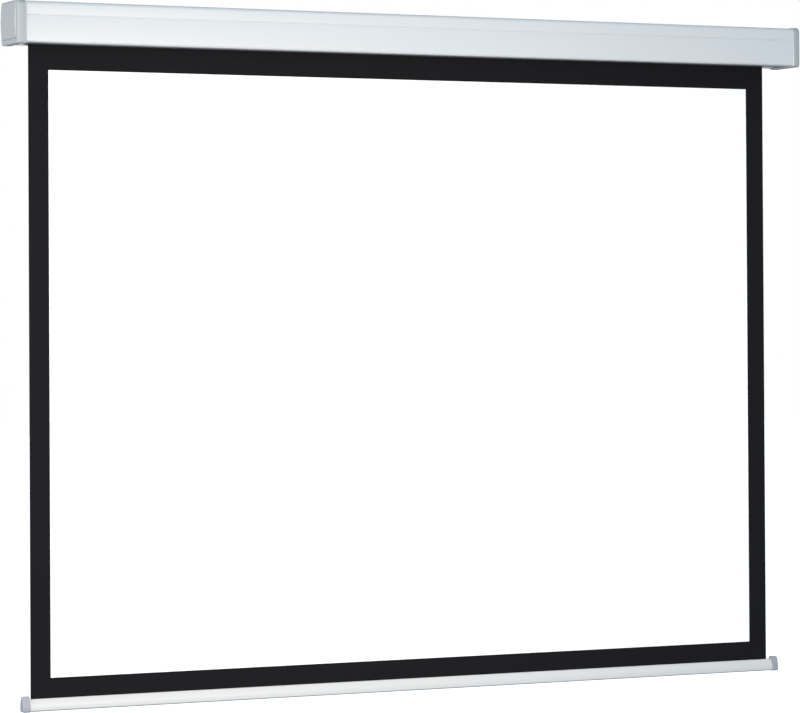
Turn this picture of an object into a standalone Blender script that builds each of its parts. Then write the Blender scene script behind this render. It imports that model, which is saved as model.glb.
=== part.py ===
"""Motorised projection screen, 4:3, with a 2 m wide black-bordered fabric and a white aluminium case.

Metres, +Z up, +X to the right of someone who faces the screen, +Y towards the wall.
The origin is on the wall, midway along the case and at half its height.
The screen is modelled fully lowered. The motor is at the right-hand end, the idler at the left.
"""

from math import acos, asin, atan2, cos, degrees, pi, radians, sin, tan

import bmesh
import bpy
from mathutils import Vector

for old in list(bpy.data.objects):
    bpy.data.objects.remove(old, do_unlink=True)

# Clearances
FIT = 0.0003              # gap between pieces that touch
SCREW_PLAY = 0.0003       # radial gap round a screw's shank

# Case: extruded aluminium housing with a moulded cap at each end
CASE_HEIGHT = 0.0960
CASE_DEPTH = 0.115
CASE_WALL = 0.0018
TOP_FRONT_RADIUS = 0.010
BOTTOM_FRONT_RADIUS = 0.005
BACK_RADIUS = 0.003
TRIM_HEIGHT = 0.0318      # trim groove below the case's top
TRIM_WIDTH = 0.0034
TRIM_DEPTH = 0.0010
SLOT_FRONT = 0.020        # slot's front edge, ahead of the fabric
SLOT_REAR = 0.015         # slot's rear edge, behind the fabric
SLOT_LIP = 0.008          # height of the lips turned up inside the case
PORT_INSET = 0.0052       # screw ports from the case's outer faces
PORT_OUTER_R = 0.0036
PORT_SCREW_R = 0.0016
PORT_SLIT = 24.0          # degrees
HOOK_FROM_BACK = 0.042    # channel in the case's top that the brackets hook into
HOOK_WIDTH = 0.0050
HOOK_DEPTH = 0.0045

# End caps and their snap-on covers
CAP_BAND = 0.0224         # how far each cap reaches along the case
CAP_PROUD = 0.0018
CAP_LEAD = 0.0024         # length of the chamfer where each cap meets the case
CAP_LEAD_DEPTH = 0.0012
CAP_DROP = 0.0030         # underside of the caps below the case's underside
CAP_WALL = 0.0030
CAP_FRONT_RADIUS = 0.010
CAP_EDGE_RADIUS = 0.0025
COVER_RECESS = 0.0025
COVER_STRIP = 0.0120      # plain strip of the cap under its cover
COVER_EDGE = 0.0028       # cap left showing above and behind the cover
COVER_FRONT_EDGE = 0.0015
COVER_CORNER = 0.005
COVER_SKIN = 0.0015
COVER_RIM = 0.0004        # straight rim of the cover outside the cap
COVER_VAULT = 0.0036      # middle of the cover beyond the cap's flat face
COVER_EDGE_SHARE = 0.6    # share of the vault left at its front and back edges
HEAD_ROOM = 0.0026        # between cap wall and end plate, for the screw heads

# End plates
PLATE = 0.0020
PLATE_MARGIN = 0.0012     # plate edge inside the case's outer faces

# Fabric
FABRIC_WIDTH = 2.000
BORDER = 0.050            # black at the sides of the image
IMAGE_HEIGHT = 1.425
DROP_ABOVE_IMAGE = 0.0576 # black between the case's underside and the image
BLACK_BELOW = 0.0474      # black between the image and the bar
FABRIC_T = 0.00045
FABRIC_FROM_WALL = 0.030
ROOM_LEFT = 0.0555        # fabric's edge to the flat outer face of the left-hand cap
ROOM_RIGHT = 0.0615       # the same at the right, with room for the motor head
WRAP_TURNS = 1.5          # turns of leader left on the tube when the screen is down
WRAP_GAP = 0.00025

# Roller tube
TUBE_R = 0.0315
TUBE_WALL = 0.0016
TUBE_OVERHANG = 0.005     # tube beyond the fabric at each side
ROLLER_ABOVE_MIDDLE = 0.007
KEDER_NECK = 0.0024       # mouth of the groove that holds the fabric's top edge
KEDER_NECK_DEPTH = 0.0015
KEDER_GROOVE_R = 0.0026
KEDER_WALL = 0.0012        # tube metal round the groove
KEDER_R = 0.0022
FLANGE = 0.0020           # flanges of crown and idle plug over the tube's ends

# Tubular motor
MOTOR_R = 0.0225
MOTOR_LENGTH = 0.520
CAN_BORE_R = 0.0190       # bore of the motor's can, open at its head
CAN_BORE_LENGTH = 0.400
HEAD_R = 0.026
HEAD_GAP = 0.0010         # between the crown's flange and the motor head
BOSS_R = 0.0087
SHAFT_R = 0.0060
SHAFT_SEAT = 0.010        # shaft inside the gearbox
SHAFT_LENGTH = 0.036
CROWN_LENGTH = 0.018
WHEEL_LENGTH = 0.016
WHEEL_FROM_MOTOR = 0.006
MOTOR_SCREW_CIRCLE = 0.0185
LIMIT_SCREW_R = 0.0030
LIMIT_SCREW_LENGTH = 0.0085
LIMIT_SCREW_PROUD = 0.0025
LIMIT_SPACING = 0.014
LIMIT_FROM_PLATE = 0.014  # outer limit screw to the head's back face
LIMIT_TILT = 30.0         # degrees from straight down, towards the slot

# Idler
PIN_R = 0.0060
PIN_FLANGE_R = 0.016
PIN_FLANGE = 0.0030
PIN_RIVET_R = 0.0085
PIN_RIVET = 0.0015
PLUG_LENGTH = 0.038
BUSH_WALL = 0.0028
RUNNING = 0.0003

# Cable gland in the right-hand cap
GLAND_FROM_BACK = 0.0215
GLAND_FROM_BOTTOM = 0.026
GLAND_R = 0.0060
GLAND_FLANGE_R = 0.0080
GLAND_FLANGE = 0.0018
GLAND_BORE_R = 0.0034

# Screws
PORT_HEAD_R = 0.0032
HEAD_HEIGHT = 0.0019
PORT_SCREW_LENGTH = 0.012
CAP_SCREW_R = 0.0015
CAP_HEAD_R = 0.0026
CAP_HEAD = 0.0013
CAP_SCREW_LENGTH = 0.010
CAP_SCREWS = ((0.0235, 0.0490), (0.0965, 0.0785))   # each from the case's front and bottom

# Brackets
BRACKET_FROM_END = 0.3585 # middle of each bracket to the outer face of the cap
BRACKET_WIDTH = 0.060
BRACKET_T = 0.0030
BRACKET_BEND = 0.0040
BRACKET_FOOT = 0.0118
CLAMP_ROOM = 0.0030       # under the case, closed by the clamp screw
CLAMP_SCREW_R = 0.0020
CLAMP_HEAD_R = 0.0038
CLAMP_HEAD = 0.0030
FIXING_SLOT_R = 0.0030
FIXING_SLOT_LENGTH = 0.016
WALL_SLOTS = (0.026, -0.026)   # heights from the case's middle
CEILING_SLOT_SPACING = 0.036

# Bottom bar
BAR_OVER_LEFT = 0.0040    # metal bar beyond the fabric's left edge
BAR_OVER_RIGHT = 0.0120   # the same at the right
BAR_HEIGHT = 0.0290
BAR_DEPTH = 0.0240
BAR_TOP_DEPTH = 0.0080
BAR_STRAIGHT = 0.0115     # height up to which the bar keeps its full depth
BAR_BOTTOM_RADIUS = 0.0040
BAR_SLIT = 0.0020
HEM_FROM_TOP = 0.0055
HEM_GROOVE_R = 0.0030
HEM_ROD_R = 0.0024
WEIGHT_R = 0.0062
WEIGHT_FROM_BOTTOM = 0.0086
BAR_PORT_FROM_BOTTOM = 0.0178
BAR_PORT_R = 0.0014
BAR_CAP_LENGTH = 0.018
BAR_CAP_PROUD = 0.0010
BAR_CAP_RISE = 0.0065     # caps stand above the bar
BAR_CAP_RADIUS = 0.0030
SPIGOT_LENGTH = 0.012
BAR_SCREW_LENGTH = 0.024
BAR_HEAD_R = 0.0028
BAR_HEAD = 0.0018

# Places that follow from the sizes above
BACK_Y = -(BRACKET_T + FIT)
FRONT_Y = BACK_Y - CASE_DEPTH
TOP_Z = CASE_HEIGHT / 2
BOTTOM_Z = -CASE_HEIGHT / 2
FABRIC_Y = -FABRIC_FROM_WALL
WRAP_PITCH = FABRIC_T + WRAP_GAP
LEAVE_R = TUBE_R + FIT + WRAP_TURNS * WRAP_PITCH + FABRIC_T / 2
ROLLER_Y = FABRIC_Y - LEAVE_R
ROLLER_Z = ROLLER_ABOVE_MIDDLE
CAP_END = (FABRIC_WIDTH + ROOM_LEFT + ROOM_RIGHT) / 2
FABRIC_SHIFT = (ROOM_LEFT - ROOM_RIGHT) / 2
CAP_WALL_IN = CAP_END - COVER_RECESS - CAP_WALL
PLATE_OUT = CAP_WALL_IN - HEAD_ROOM
PROFILE_END = PLATE_OUT - PLATE - FIT
TUBE_LEFT = FABRIC_SHIFT - FABRIC_WIDTH / 2 - TUBE_OVERHANG
TUBE_RIGHT = FABRIC_SHIFT + FABRIC_WIDTH / 2 + TUBE_OVERHANG
HEAD_LEFT = TUBE_RIGHT + FLANGE + HEAD_GAP
HEAD_RIGHT = PLATE_OUT - PLATE - FIT
MOTOR_LEFT = HEAD_LEFT - MOTOR_LENGTH
BAR_TOP_Z = BOTTOM_Z - DROP_ABOVE_IMAGE - IMAGE_HEIGHT - BLACK_BELOW
BAR_BOTTOM_Z = BAR_TOP_Z - BAR_HEIGHT
BAR_LEFT = -FABRIC_WIDTH / 2 - BAR_OVER_LEFT     # ends of the metal from the fabric's middle
BAR_RIGHT = FABRIC_WIDTH / 2 + BAR_OVER_RIGHT
HEM_Z = BAR_TOP_Z - HEM_FROM_TOP
HOOK_Y = BACK_Y - HOOK_FROM_BACK


# Outlines, as lists of (y, z)
def arc(y, z, r, start, end, steps):
    """Points on a circle round (y, z) from one angle to another, in degrees."""
    angles = [radians(start + (end - start) * k / steps) for k in range(steps + 1)]
    return [(y + r * cos(a), z + r * sin(a)) for a in angles]


def rounded(corners, steps=4):
    """A closed outline through corners (y, z, radius), each corner rounded by its radius."""
    points = []
    for i, (y, z, r) in enumerate(corners):
        if r <= 0:
            points.append((y, z))
            continue
        here = Vector((y, z))
        before = (Vector(corners[i - 1][:2]) - here).normalized()
        after = (Vector(corners[(i + 1) % len(corners)][:2]) - here).normalized()
        half = before.angle(after) / 2
        centre = here + (before + after).normalized() * (r / sin(half))
        first = here + before * (r / tan(half)) - centre
        last = here + after * (r / tan(half)) - centre
        start = atan2(first.y, first.x)
        sweep = (atan2(last.y, last.x) - start + pi) % (2 * pi) - pi
        points += arc(*centre, r, degrees(start), degrees(start + sweep), steps)
    return points


def case_outline(grow=0.0, drop=None):
    """The case's outer shape without its groove, channel and slot, grown or shrunk all round."""
    low = BOTTOM_Z - (grow if drop is None else drop)
    front, back, high = FRONT_Y - grow, BACK_Y + min(grow, -BACK_Y / 2), TOP_Z + grow
    return rounded([
        (front, low, BOTTOM_FRONT_RADIUS + grow),
        (front, high, TOP_FRONT_RADIUS + grow),
        (back, high, BACK_RADIUS + grow),
        (back, low, BACK_RADIUS + grow),
    ], 5)


def screw_port(y, z, turn):
    """An open screw port in one inner corner of the case, turned by whole quarter turns."""
    lean = degrees(asin((PORT_INSET - CASE_WALL) / PORT_OUTER_R))
    start, end, slit = 180 + lean + turn, 90 - lean + turn, 135 + turn
    before, after = slit + PORT_SLIT / 2, slit - PORT_SLIT / 2
    inner = PORT_SCREW_R + SCREW_PLAY
    return (
        arc(y, z, PORT_OUTER_R, start, before, 4)
        + arc(y, z, inner, before, after + 360, 10)
        + arc(y, z, PORT_OUTER_R, after, end, 4)
    )


def case_section():
    """One unbroken outline: round the outside from the slot's front edge, then back round the inside."""
    t, wall_f, wall_b = CASE_WALL, FRONT_Y + CASE_WALL, BACK_Y - CASE_WALL
    roof, floor = TOP_Z - CASE_WALL, BOTTOM_Z + CASE_WALL
    slot_f, slot_r, lip = FABRIC_Y - SLOT_FRONT, FABRIC_Y + SLOT_REAR, BOTTOM_Z + SLOT_LIP
    trim, half, sunk = TOP_Z - TRIM_HEIGHT, TRIM_WIDTH / 2, FRONT_Y + TRIM_DEPTH
    hook_f, hook_r = HOOK_Y - HOOK_WIDTH / 2, HOOK_Y + HOOK_WIDTH / 2
    outside = rounded([
        (slot_f, lip, 0), (slot_f, BOTTOM_Z, 0.001), (FRONT_Y, BOTTOM_Z, BOTTOM_FRONT_RADIUS),
        (FRONT_Y, trim - half, 0), (sunk, trim - half / 2, 0), (sunk, trim + half / 2, 0),
        (FRONT_Y, trim + half, 0), (FRONT_Y, TOP_Z, TOP_FRONT_RADIUS),
        (hook_f, TOP_Z, 0), (hook_f, TOP_Z - HOOK_DEPTH, 0),
        (hook_r, TOP_Z - HOOK_DEPTH, 0), (hook_r, TOP_Z, 0),
        (BACK_Y, TOP_Z, BACK_RADIUS), (BACK_Y, BOTTOM_Z, BACK_RADIUS),
        (slot_r, BOTTOM_Z, 0.001), (slot_r, lip, 0),
    ], 5)
    ports = [
        screw_port(y, z, 90 * k)
        for k, (y, z) in enumerate(port_places())
    ]
    under_hook = [
        (hook_r + t, roof), (hook_r + t, roof - HOOK_DEPTH),
        (hook_f - t, roof - HOOK_DEPTH), (hook_f - t, roof),
    ]
    behind_trim = [
        (wall_f, trim + t + half), (wall_f + TRIM_DEPTH, trim + t), (wall_f + TRIM_DEPTH, trim - t),
        (wall_f, trim - t - half),
    ]
    inside = (
        [(slot_r + t, lip), (slot_r + t, floor)] + ports[0] + ports[1] + under_hook
        + ports[2] + behind_trim + ports[3] + [(slot_f - t, floor), (slot_f - t, lip)]
    )
    return outside + inside


def port_places():
    """Rear bottom, rear top, front top and front bottom."""
    near, far = FRONT_Y + PORT_INSET, BACK_Y - PORT_INSET
    low, high = BOTTOM_Z + PORT_INSET, TOP_Z - PORT_INSET
    return [(far, low), (far, high), (near, high), (near, low)]


def cover_outline(grow=0.0):
    front = FRONT_Y - CAP_PROUD + CAP_FRONT_RADIUS + COVER_FRONT_EDGE - grow
    back = cap_back() - COVER_EDGE + grow
    low, high = BOTTOM_Z - CAP_DROP + COVER_STRIP - grow, TOP_Z + CAP_PROUD - COVER_EDGE + grow
    r = COVER_CORNER + grow
    return rounded([(front, low, r), (front, high, r), (back, high, r), (back, low, r)], 5)


def cap_back():
    return max(y for y, _ in case_outline(CAP_PROUD))


def notched(radius, notch):
    """A circle round the roller's axis with a round notch for the keder groove, at the front."""
    middle = keder_y()
    meet = degrees(acos((radius ** 2 + middle ** 2 - notch ** 2) / (2 * radius * -middle)))
    circle = arc(0, 0, radius, -180 + meet, 180 - meet, 44)
    edge_y, edge_z = circle[-1]
    turn = degrees(atan2(edge_z, edge_y - middle))
    return circle + arc(middle, 0, notch, turn, -turn, 8)[1:-1]


def keder_y():
    """Centre of the keder groove from the roller's axis."""
    return -(TUBE_R - KEDER_NECK_DEPTH - KEDER_GROOVE_R)


def tube_outside():
    """The tube's outer shape: a circle with a narrow-mouthed round groove at the front."""
    mouth = degrees(asin(KEDER_NECK / 2 / TUBE_R))
    neck = degrees(asin(KEDER_NECK / 2 / KEDER_GROOVE_R))
    return (
        arc(0, 0, TUBE_R, -180 + mouth, 180 - mouth, 48)
        + arc(keder_y(), 0, KEDER_GROOVE_R, 180 - neck, -180 + neck, 12)
    )


def bar_half(height):
    """Half the bar's depth at a height above its underside."""
    if height <= BAR_STRAIGHT:
        return BAR_DEPTH / 2
    share = (height - BAR_STRAIGHT) / (BAR_HEIGHT - BAR_STRAIGHT)
    return BAR_DEPTH / 2 - (BAR_DEPTH - BAR_TOP_DEPTH) / 2 * share ** 1.4


def bar_side(grow=0.0, rise=0.0, steps=7):
    """One side of the bar's section from underside to top, as (half depth, height)."""
    points = arc(BAR_DEPTH / 2 + grow - BAR_BOTTOM_RADIUS, BAR_BOTTOM_RADIUS - grow,
                 BAR_BOTTOM_RADIUS, -90, 0, 4)
    for k in range(steps + 1):
        height = BAR_STRAIGHT + (BAR_HEIGHT - BAR_STRAIGHT - 0.001) * k / steps
        points.append((bar_half(height) + grow, height + rise * k / steps))
    points.append((BAR_TOP_DEPTH / 2 + grow - 0.0012, BAR_HEIGHT + rise))
    return points


def bar_section():
    """The bar's outer shape with the keyhole groove that holds the hem."""
    right = bar_side()
    left = [(-y, z) for y, z in reversed(right)]
    neck = degrees(asin(BAR_SLIT / 2 / HEM_GROOVE_R))
    groove = arc(0, BAR_HEIGHT - HEM_FROM_TOP, HEM_GROOVE_R, 90 + neck, 450 - neck, 12)
    return right + [(BAR_SLIT / 2, BAR_HEIGHT)] + groove[::-1] + [(-BAR_SLIT / 2, BAR_HEIGHT)] + left


def spiral(turns, steps):
    """A wound strip's section round the roller's axis, from where the fabric leaves it inwards."""
    out, inn = [], []
    for k in range(steps + 1):
        a = 2 * pi * turns * k / steps
        r = LEAVE_R - WRAP_PITCH * turns * k / steps
        out.append(((r + FABRIC_T / 2) * cos(a), (r + FABRIC_T / 2) * sin(a)))
        inn.append(((r - FABRIC_T / 2) * cos(a), (r - FABRIC_T / 2) * sin(a)))
    return out + inn[::-1]


# Modelling
def linear(value):
    value /= 255
    return value / 12.92 if value <= 0.04045 else ((value + 0.055) / 1.055) ** 2.4


def material(name, colour, roughness, metallic=0.0):
    made = bpy.data.materials.new(name)
    made.use_nodes = True
    shader = made.node_tree.nodes["Principled BSDF"]
    shader.inputs["Base Color"].default_value = (*(linear(c) for c in colour), 1)
    shader.inputs["Roughness"].default_value = roughness
    shader.inputs["Metallic"].default_value = metallic
    made.diffuse_color = (*(linear(c) for c in colour), 1)
    return made


def axis_empty(name, place):
    empty = bpy.data.objects.new(name, None)
    empty.location = place
    empty.empty_display_size = 0.05
    bpy.context.scene.collection.objects.link(empty)
    return empty


def finish(name, bm, mat=None, place=(0, 0, 0), parent=None, turn=0.0, smooth=None):
    """Turn a bmesh into a placed object with its faces pointing outwards."""
    bmesh.ops.recalc_face_normals(bm, faces=bm.faces)
    mesh = bpy.data.meshes.new(name)
    bm.to_mesh(mesh)
    bm.free()
    if smooth:
        mesh.shade_smooth()
        mesh.set_sharp_from_angle(angle=radians(smooth))
    obj = bpy.data.objects.new(name, mesh)
    bpy.context.scene.collection.objects.link(obj)
    obj.location = place
    obj.rotation_euler = (turn, 0, 0)
    obj.parent = parent
    if mat:
        mesh.materials.append(mat)
    return obj


def cutter(name, bm, place=(0, 0, 0), parent=None):
    obj = finish(name, bm, None, place, parent)
    obj.hide_render = True
    obj.display_type = "WIRE"
    return obj


def boolean(obj, other, operation="DIFFERENCE"):
    mod = obj.modifiers.new(other.name, "BOOLEAN")
    mod.object = other
    mod.operation = operation
    return obj


def prism(outline, x0, x1, bm=None):
    """An outline in the YZ plane, extruded from x0 to x1."""
    bm = bm or bmesh.new()
    face = bm.faces.new([bm.verts.new((x0, y, z)) for y, z in outline])
    made = bmesh.ops.extrude_face_region(bm, geom=[face])
    moved = [v for v in made["geom"] if isinstance(v, bmesh.types.BMVert)]
    bmesh.ops.translate(bm, verts=moved, vec=(x1 - x0, 0, 0))
    return bm


def loft(rings, bm=None):
    """A closed skin through rings of points, flat at both ends."""
    bm = bm or bmesh.new()
    loops = [[bm.verts.new(p) for p in ring] for ring in rings]
    for one, two in zip(loops, loops[1:]):
        for k in range(len(one)):
            bm.faces.new((one[k - 1], one[k], two[k], two[k - 1]))
    bm.faces.new(loops[0])
    bm.faces.new(loops[-1])
    return bm


def turned(profile, steps=24, centre=(0, 0), bm=None):
    """A profile of (x, radius), from axis to axis or closed on itself, spun about an axis along X."""
    bm = bm or bmesh.new()
    y, z = centre
    ring = [bm.verts.new((x, y, z + r)) for x, r in profile]
    ends = zip(ring, ring[1:] + ring[:1]) if profile[0][1] > 0 else zip(ring, ring[1:])
    edges = [bm.edges.new(pair) for pair in ends]
    bmesh.ops.spin(bm, geom=ring + edges, axis=(1, 0, 0), cent=(0, y, z), angle=2 * pi,
                   steps=steps, use_merge=True)
    bmesh.ops.remove_doubles(bm, verts=bm.verts, dist=1e-6)
    return bm


def rod(x0, x1, r, centre=(0, 0), steps=24, bm=None):
    return turned([(x0, 0), (x0, r), (x1, r), (x1, 0)], steps, centre, bm)


def screw_mesh(name, r, length, head_r, head, steps=10):
    """A pan-head screw along X: head on the +X side of the origin, shank on the other."""
    bm = turned([
        (head, 0), (head, head_r * 0.7), (head * 0.45, head_r), (0, head_r),
        (0, r), (-length, r), (-length, 0),
    ], steps)
    bmesh.ops.recalc_face_normals(bm, faces=bm.faces)
    mesh = bpy.data.meshes.new(name)
    bm.to_mesh(mesh)
    bm.free()
    mesh.shade_smooth()
    mesh.set_sharp_from_angle(angle=radians(35))
    mesh.materials.append(SCREW_STEEL)
    return mesh


def place_screw(name, mesh, side, place, parent=None, axis="X"):
    """One copy of a screw, its head on the side that is given, left (-1) or right (1), or below."""
    obj = bpy.data.objects.new(name, mesh)
    bpy.context.scene.collection.objects.link(obj)
    obj.location = place
    obj.rotation_euler = (0, pi / 2, 0) if axis == "Z" else (0, 0, 0 if side > 0 else pi)
    obj.parent = parent
    return obj


def vaulted_cover(side, corner_steps=3, height_steps=10):
    """A cover curved in height alone. Its rings run across it, from front to back round its corners."""
    ys, zs = [y for y, _ in cover_outline()], [z for _, z in cover_outline()]
    front, back, middle, half = min(ys), max(ys), (max(zs) + min(zs)) / 2, (max(zs) - min(zs)) / 2
    seat, rim = CAP_END - COVER_RECESS + FIT, CAP_END + COVER_RIM
    stations = []
    for k in range(corner_steps + 1):
        a = radians(90 * k / corner_steps)
        share = COVER_EDGE_SHARE + (1 - COVER_EDGE_SHARE) * sin(a)
        stations.append((COVER_CORNER * (1 - cos(a)), half - COVER_CORNER * (1 - sin(a)), share))
    places = [(front + inward, reach, share) for inward, reach, share in stations]
    places += [(back - inward, reach, share) for inward, reach, share in reversed(stations)]
    rings = []
    for y, reach, share in places:
        ring = [(side * seat, y, middle + reach), (side * seat, y, middle - reach)]
        for k in range(height_steps + 1):
            rise = reach * (2 * k / height_steps - 1)
            swell = share * (COVER_VAULT - COVER_RIM) * (1 - (rise / half) ** 2)
            ring.append((side * (rim + swell), y, middle + rise))
        rings.append(ring)
    return loft(rings)


def rounded_end(outline, x_in, x_out, front_r, edge_r, lead=0.0, lead_depth=0.0, steps=5):
    """An extruded outline whose outer end is rounded, more at its front edge than round the rest.

    Its inner end may have a chamfer.
    """
    side = 1 if x_out > x_in else -1
    ys, zs = [y for y, _ in outline], [z for _, z in outline]
    y0, y1, z0, z1 = min(ys), max(ys), min(zs), max(zs)
    stops = {0.0} | {front_r * (1 - sin(radians(90 * k / steps))) for k in range(steps + 1)}
    stops |= {edge_r * (1 - sin(radians(90 * k / 3))) for k in range(4)}

    def ring(x, front, edge):
        return [
            (x, y0 + front + (y - y0) * (y1 - edge - y0 - front) / (y1 - y0),
             z0 + edge + (z - z0) * (z1 - z0 - 2 * edge) / (z1 - z0))
            for y, z in outline
        ]

    rings = [ring(x_in, lead_depth, lead_depth)] if lead else []
    rings.append(ring(x_in + side * lead, 0, 0))
    for back in sorted(stops, reverse=True):
        front = front_r - max(0.0, front_r ** 2 - max(0.0, front_r - back) ** 2) ** 0.5
        edge = edge_r - max(0.0, edge_r ** 2 - max(0.0, edge_r - back) ** 2) ** 0.5
        rings.append(ring(x_out - side * back, front, edge))
    return loft(rings)


# Materials
CASE_WHITE = material("case_white", (232, 239, 242), 0.35)
CAP_GREY = material("cap_grey", (150, 152, 158), 0.55)
COVER_GREY = material("cover_grey", (144, 146, 152), 0.5)
STEEL = material("zinc_steel", (168, 170, 172), 0.35, 1.0)
DARK_STEEL = material("dark_steel", (92, 94, 98), 0.4, 1.0)
SCREW_STEEL = material("screw_steel", (150, 152, 155), 0.3, 1.0)
TUBE_METAL = material("tube_aluminium", (176, 178, 180), 0.4, 1.0)
HEAD_BLACK = material("motor_head_black", (30, 30, 32), 0.5)
CROWN_BLACK = material("crown_black", (40, 40, 43), 0.5)
LIMIT_WHITE = material("limit_screw_white", (232, 230, 222), 0.45)
LIMIT_RED = material("limit_screw_red", (186, 40, 34), 0.45)
RUBBER = material("gland_rubber", (24, 24, 25), 0.7)
NYLON = material("bush_nylon", (222, 220, 210), 0.5)
SCREEN_WHITE = material("screen_white", (248, 248, 247), 0.9)
SCREEN_BLACK = material("screen_black", (34, 32, 36), 0.85)
BAR_WHITE = material("bar_white", (226, 229, 232), 0.4)
BAR_GREY = material("bar_cap_grey", (152, 153, 160), 0.5)

# Case
finish("case_profile", prism(case_section(), -PROFILE_END, PROFILE_END), CASE_WHITE, smooth=30)

GLAND = (BACK_Y - GLAND_FROM_BACK, BOTTOM_Z + GLAND_FROM_BOTTOM)
CAP_SCREW_PLACES = [(FRONT_Y + y, BOTTOM_Z + z) for y, z in CAP_SCREWS]

for word, side in (("left", -1), ("right", 1)):
    # Moulded cap: a rounded tray over the end of the case, recessed outside for its cover
    band = rounded_end(case_outline(CAP_PROUD, CAP_DROP), side * (CAP_END - CAP_BAND), side * CAP_END,
                       CAP_FRONT_RADIUS, CAP_EDGE_RADIUS, CAP_LEAD, CAP_LEAD_DEPTH)
    cap = finish("end_cap_" + word, band, CAP_GREY, smooth=35)
    hollow = prism(case_outline(FIT), side * (CAP_END - CAP_BAND - 0.001), side * CAP_WALL_IN)
    boolean(cap, cutter("cut_hollow_" + word, hollow))
    recess = prism(cover_outline(FIT), side * (CAP_END - COVER_RECESS), side * (CAP_END + 0.001))
    boolean(cap, cutter("cut_recess_" + word, recess))
    x0, x1 = side * (CAP_WALL_IN - 0.001), side * (CAP_END - COVER_RECESS + 0.001)
    holes = bmesh.new()
    for place in CAP_SCREW_PLACES:
        rod(x0, x1, CAP_SCREW_R + SCREW_PLAY, place, 12, holes)
    if side > 0:
        rod(x0, x1, GLAND_R + FIT, GLAND, 24, holes)
    boolean(cap, cutter("cut_cap_holes_" + word, holes))

    # Snap-on cover: a shallow vault that fills the recess and swells out of it, hollow behind
    cover = finish("side_cover_" + word, vaulted_cover(side), COVER_GREY, smooth=40)
    pocket = prism(cover_outline(-COVER_SKIN), side * (CAP_END - COVER_RECESS - 0.001),
                   side * (CAP_END - COVER_SKIN + 0.0010))
    boolean(cover, cutter("cut_cover_" + word, pocket))
    if side > 0:
        way = rod(CAP_END - COVER_RECESS - 0.001, CAP_END + COVER_VAULT + 0.001,
                  GLAND_FLANGE_R + FIT, GLAND, 28)
        boolean(cover, cutter("cut_gland_way", way))

    # Steel end plate, screwed to the four ports
    near, far = side * (PLATE_OUT - PLATE), side * PLATE_OUT
    plate = finish("end_plate_" + word, prism(case_outline(-PLATE_MARGIN), near, far), STEEL)
    x0, x1 = side * (PLATE_OUT - PLATE - 0.001), side * (PLATE_OUT + 0.001)
    holes = bmesh.new()
    for place in port_places():
        rod(x0, x1, PORT_SCREW_R + SCREW_PLAY, place, 12, holes)
    for place in CAP_SCREW_PLACES:
        rod(x0, x1, CAP_SCREW_R + SCREW_PLAY, place, 12, holes)
    if side > 0:
        rod(x0, x1, BOSS_R + FIT, (ROLLER_Y, ROLLER_Z), 28, holes)
        rod(x0, x1, GLAND_FLANGE_R + FIT, GLAND, 24, holes)
        for lift in (-MOTOR_SCREW_CIRCLE, MOTOR_SCREW_CIRCLE):
            rod(x0, x1, CAP_SCREW_R + SCREW_PLAY, (ROLLER_Y, ROLLER_Z + lift), 12, holes)
    else:
        rod(x0, x1, PIN_R + FIT, (ROLLER_Y, ROLLER_Z), 24, holes)
    boolean(plate, cutter("cut_plate_" + word, holes))

port_screw = screw_mesh("port_screw", PORT_SCREW_R, PORT_SCREW_LENGTH, PORT_HEAD_R, HEAD_HEIGHT)
cap_screw = screw_mesh("cap_screw", CAP_SCREW_R, CAP_SCREW_LENGTH, CAP_HEAD_R, CAP_HEAD)
for word, side in (("left", -1), ("right", 1)):
    for k, (y, z) in enumerate(port_places(), 1):
        place_screw(f"end_plate_screw_{word}_{k}", port_screw, side, (side * (PLATE_OUT + FIT), y, z))
    for k, (y, z) in enumerate(CAP_SCREW_PLACES, 1):
        seat = side * (CAP_END - COVER_RECESS + FIT)
        place_screw(f"cap_screw_{word}_{k}", cap_screw, side, (seat, y, z))

# Rubber gland that the mains cord would leave by, through the right-hand cap
wall_in, wall_out = CAP_WALL_IN, CAP_END - COVER_RECESS
gland = turned([
    (wall_in - FIT - GLAND_FLANGE, GLAND_BORE_R), (wall_in - FIT - GLAND_FLANGE, GLAND_FLANGE_R),
    (wall_in - FIT, GLAND_FLANGE_R), (wall_in - FIT, GLAND_R),
    (wall_out + FIT, GLAND_R), (wall_out + FIT, GLAND_FLANGE_R),
    (CAP_END + COVER_VAULT * 0.5, GLAND_FLANGE_R), (CAP_END + COVER_VAULT, GLAND_FLANGE_R * 0.75),
    (CAP_END + COVER_VAULT, GLAND_BORE_R),
], 28, GLAND)
finish("cable_gland", gland, RUBBER, smooth=35)

# Tubular motor: head, body and limit screws stay still, and the tube turns round them
motor = axis_empty("motor_axis", (0, ROLLER_Y, ROLLER_Z))
head = finish("motor_head", turned([
    (HEAD_LEFT, 0), (HEAD_LEFT, HEAD_R - 0.0015), (HEAD_LEFT + 0.0015, HEAD_R),
    (HEAD_RIGHT - 0.006, HEAD_R), (HEAD_RIGHT - 0.004, HEAD_R - 0.002),
    (HEAD_RIGHT - FIT, HEAD_R - 0.002), (HEAD_RIGHT - FIT, BOSS_R), (PLATE_OUT + 0.001, BOSS_R),
    (PLATE_OUT + 0.001, 0),
], 40), HEAD_BLACK, parent=motor, smooth=35)
sockets = bmesh.new()
for lift in (-MOTOR_SCREW_CIRCLE, MOTOR_SCREW_CIRCLE):
    rod(HEAD_RIGHT - 0.010, HEAD_RIGHT + 0.001, CAP_SCREW_R + SCREW_PLAY, (0, lift), 12, sockets)
boolean(head, cutter("cut_head_sockets", sockets, parent=motor))

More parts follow.
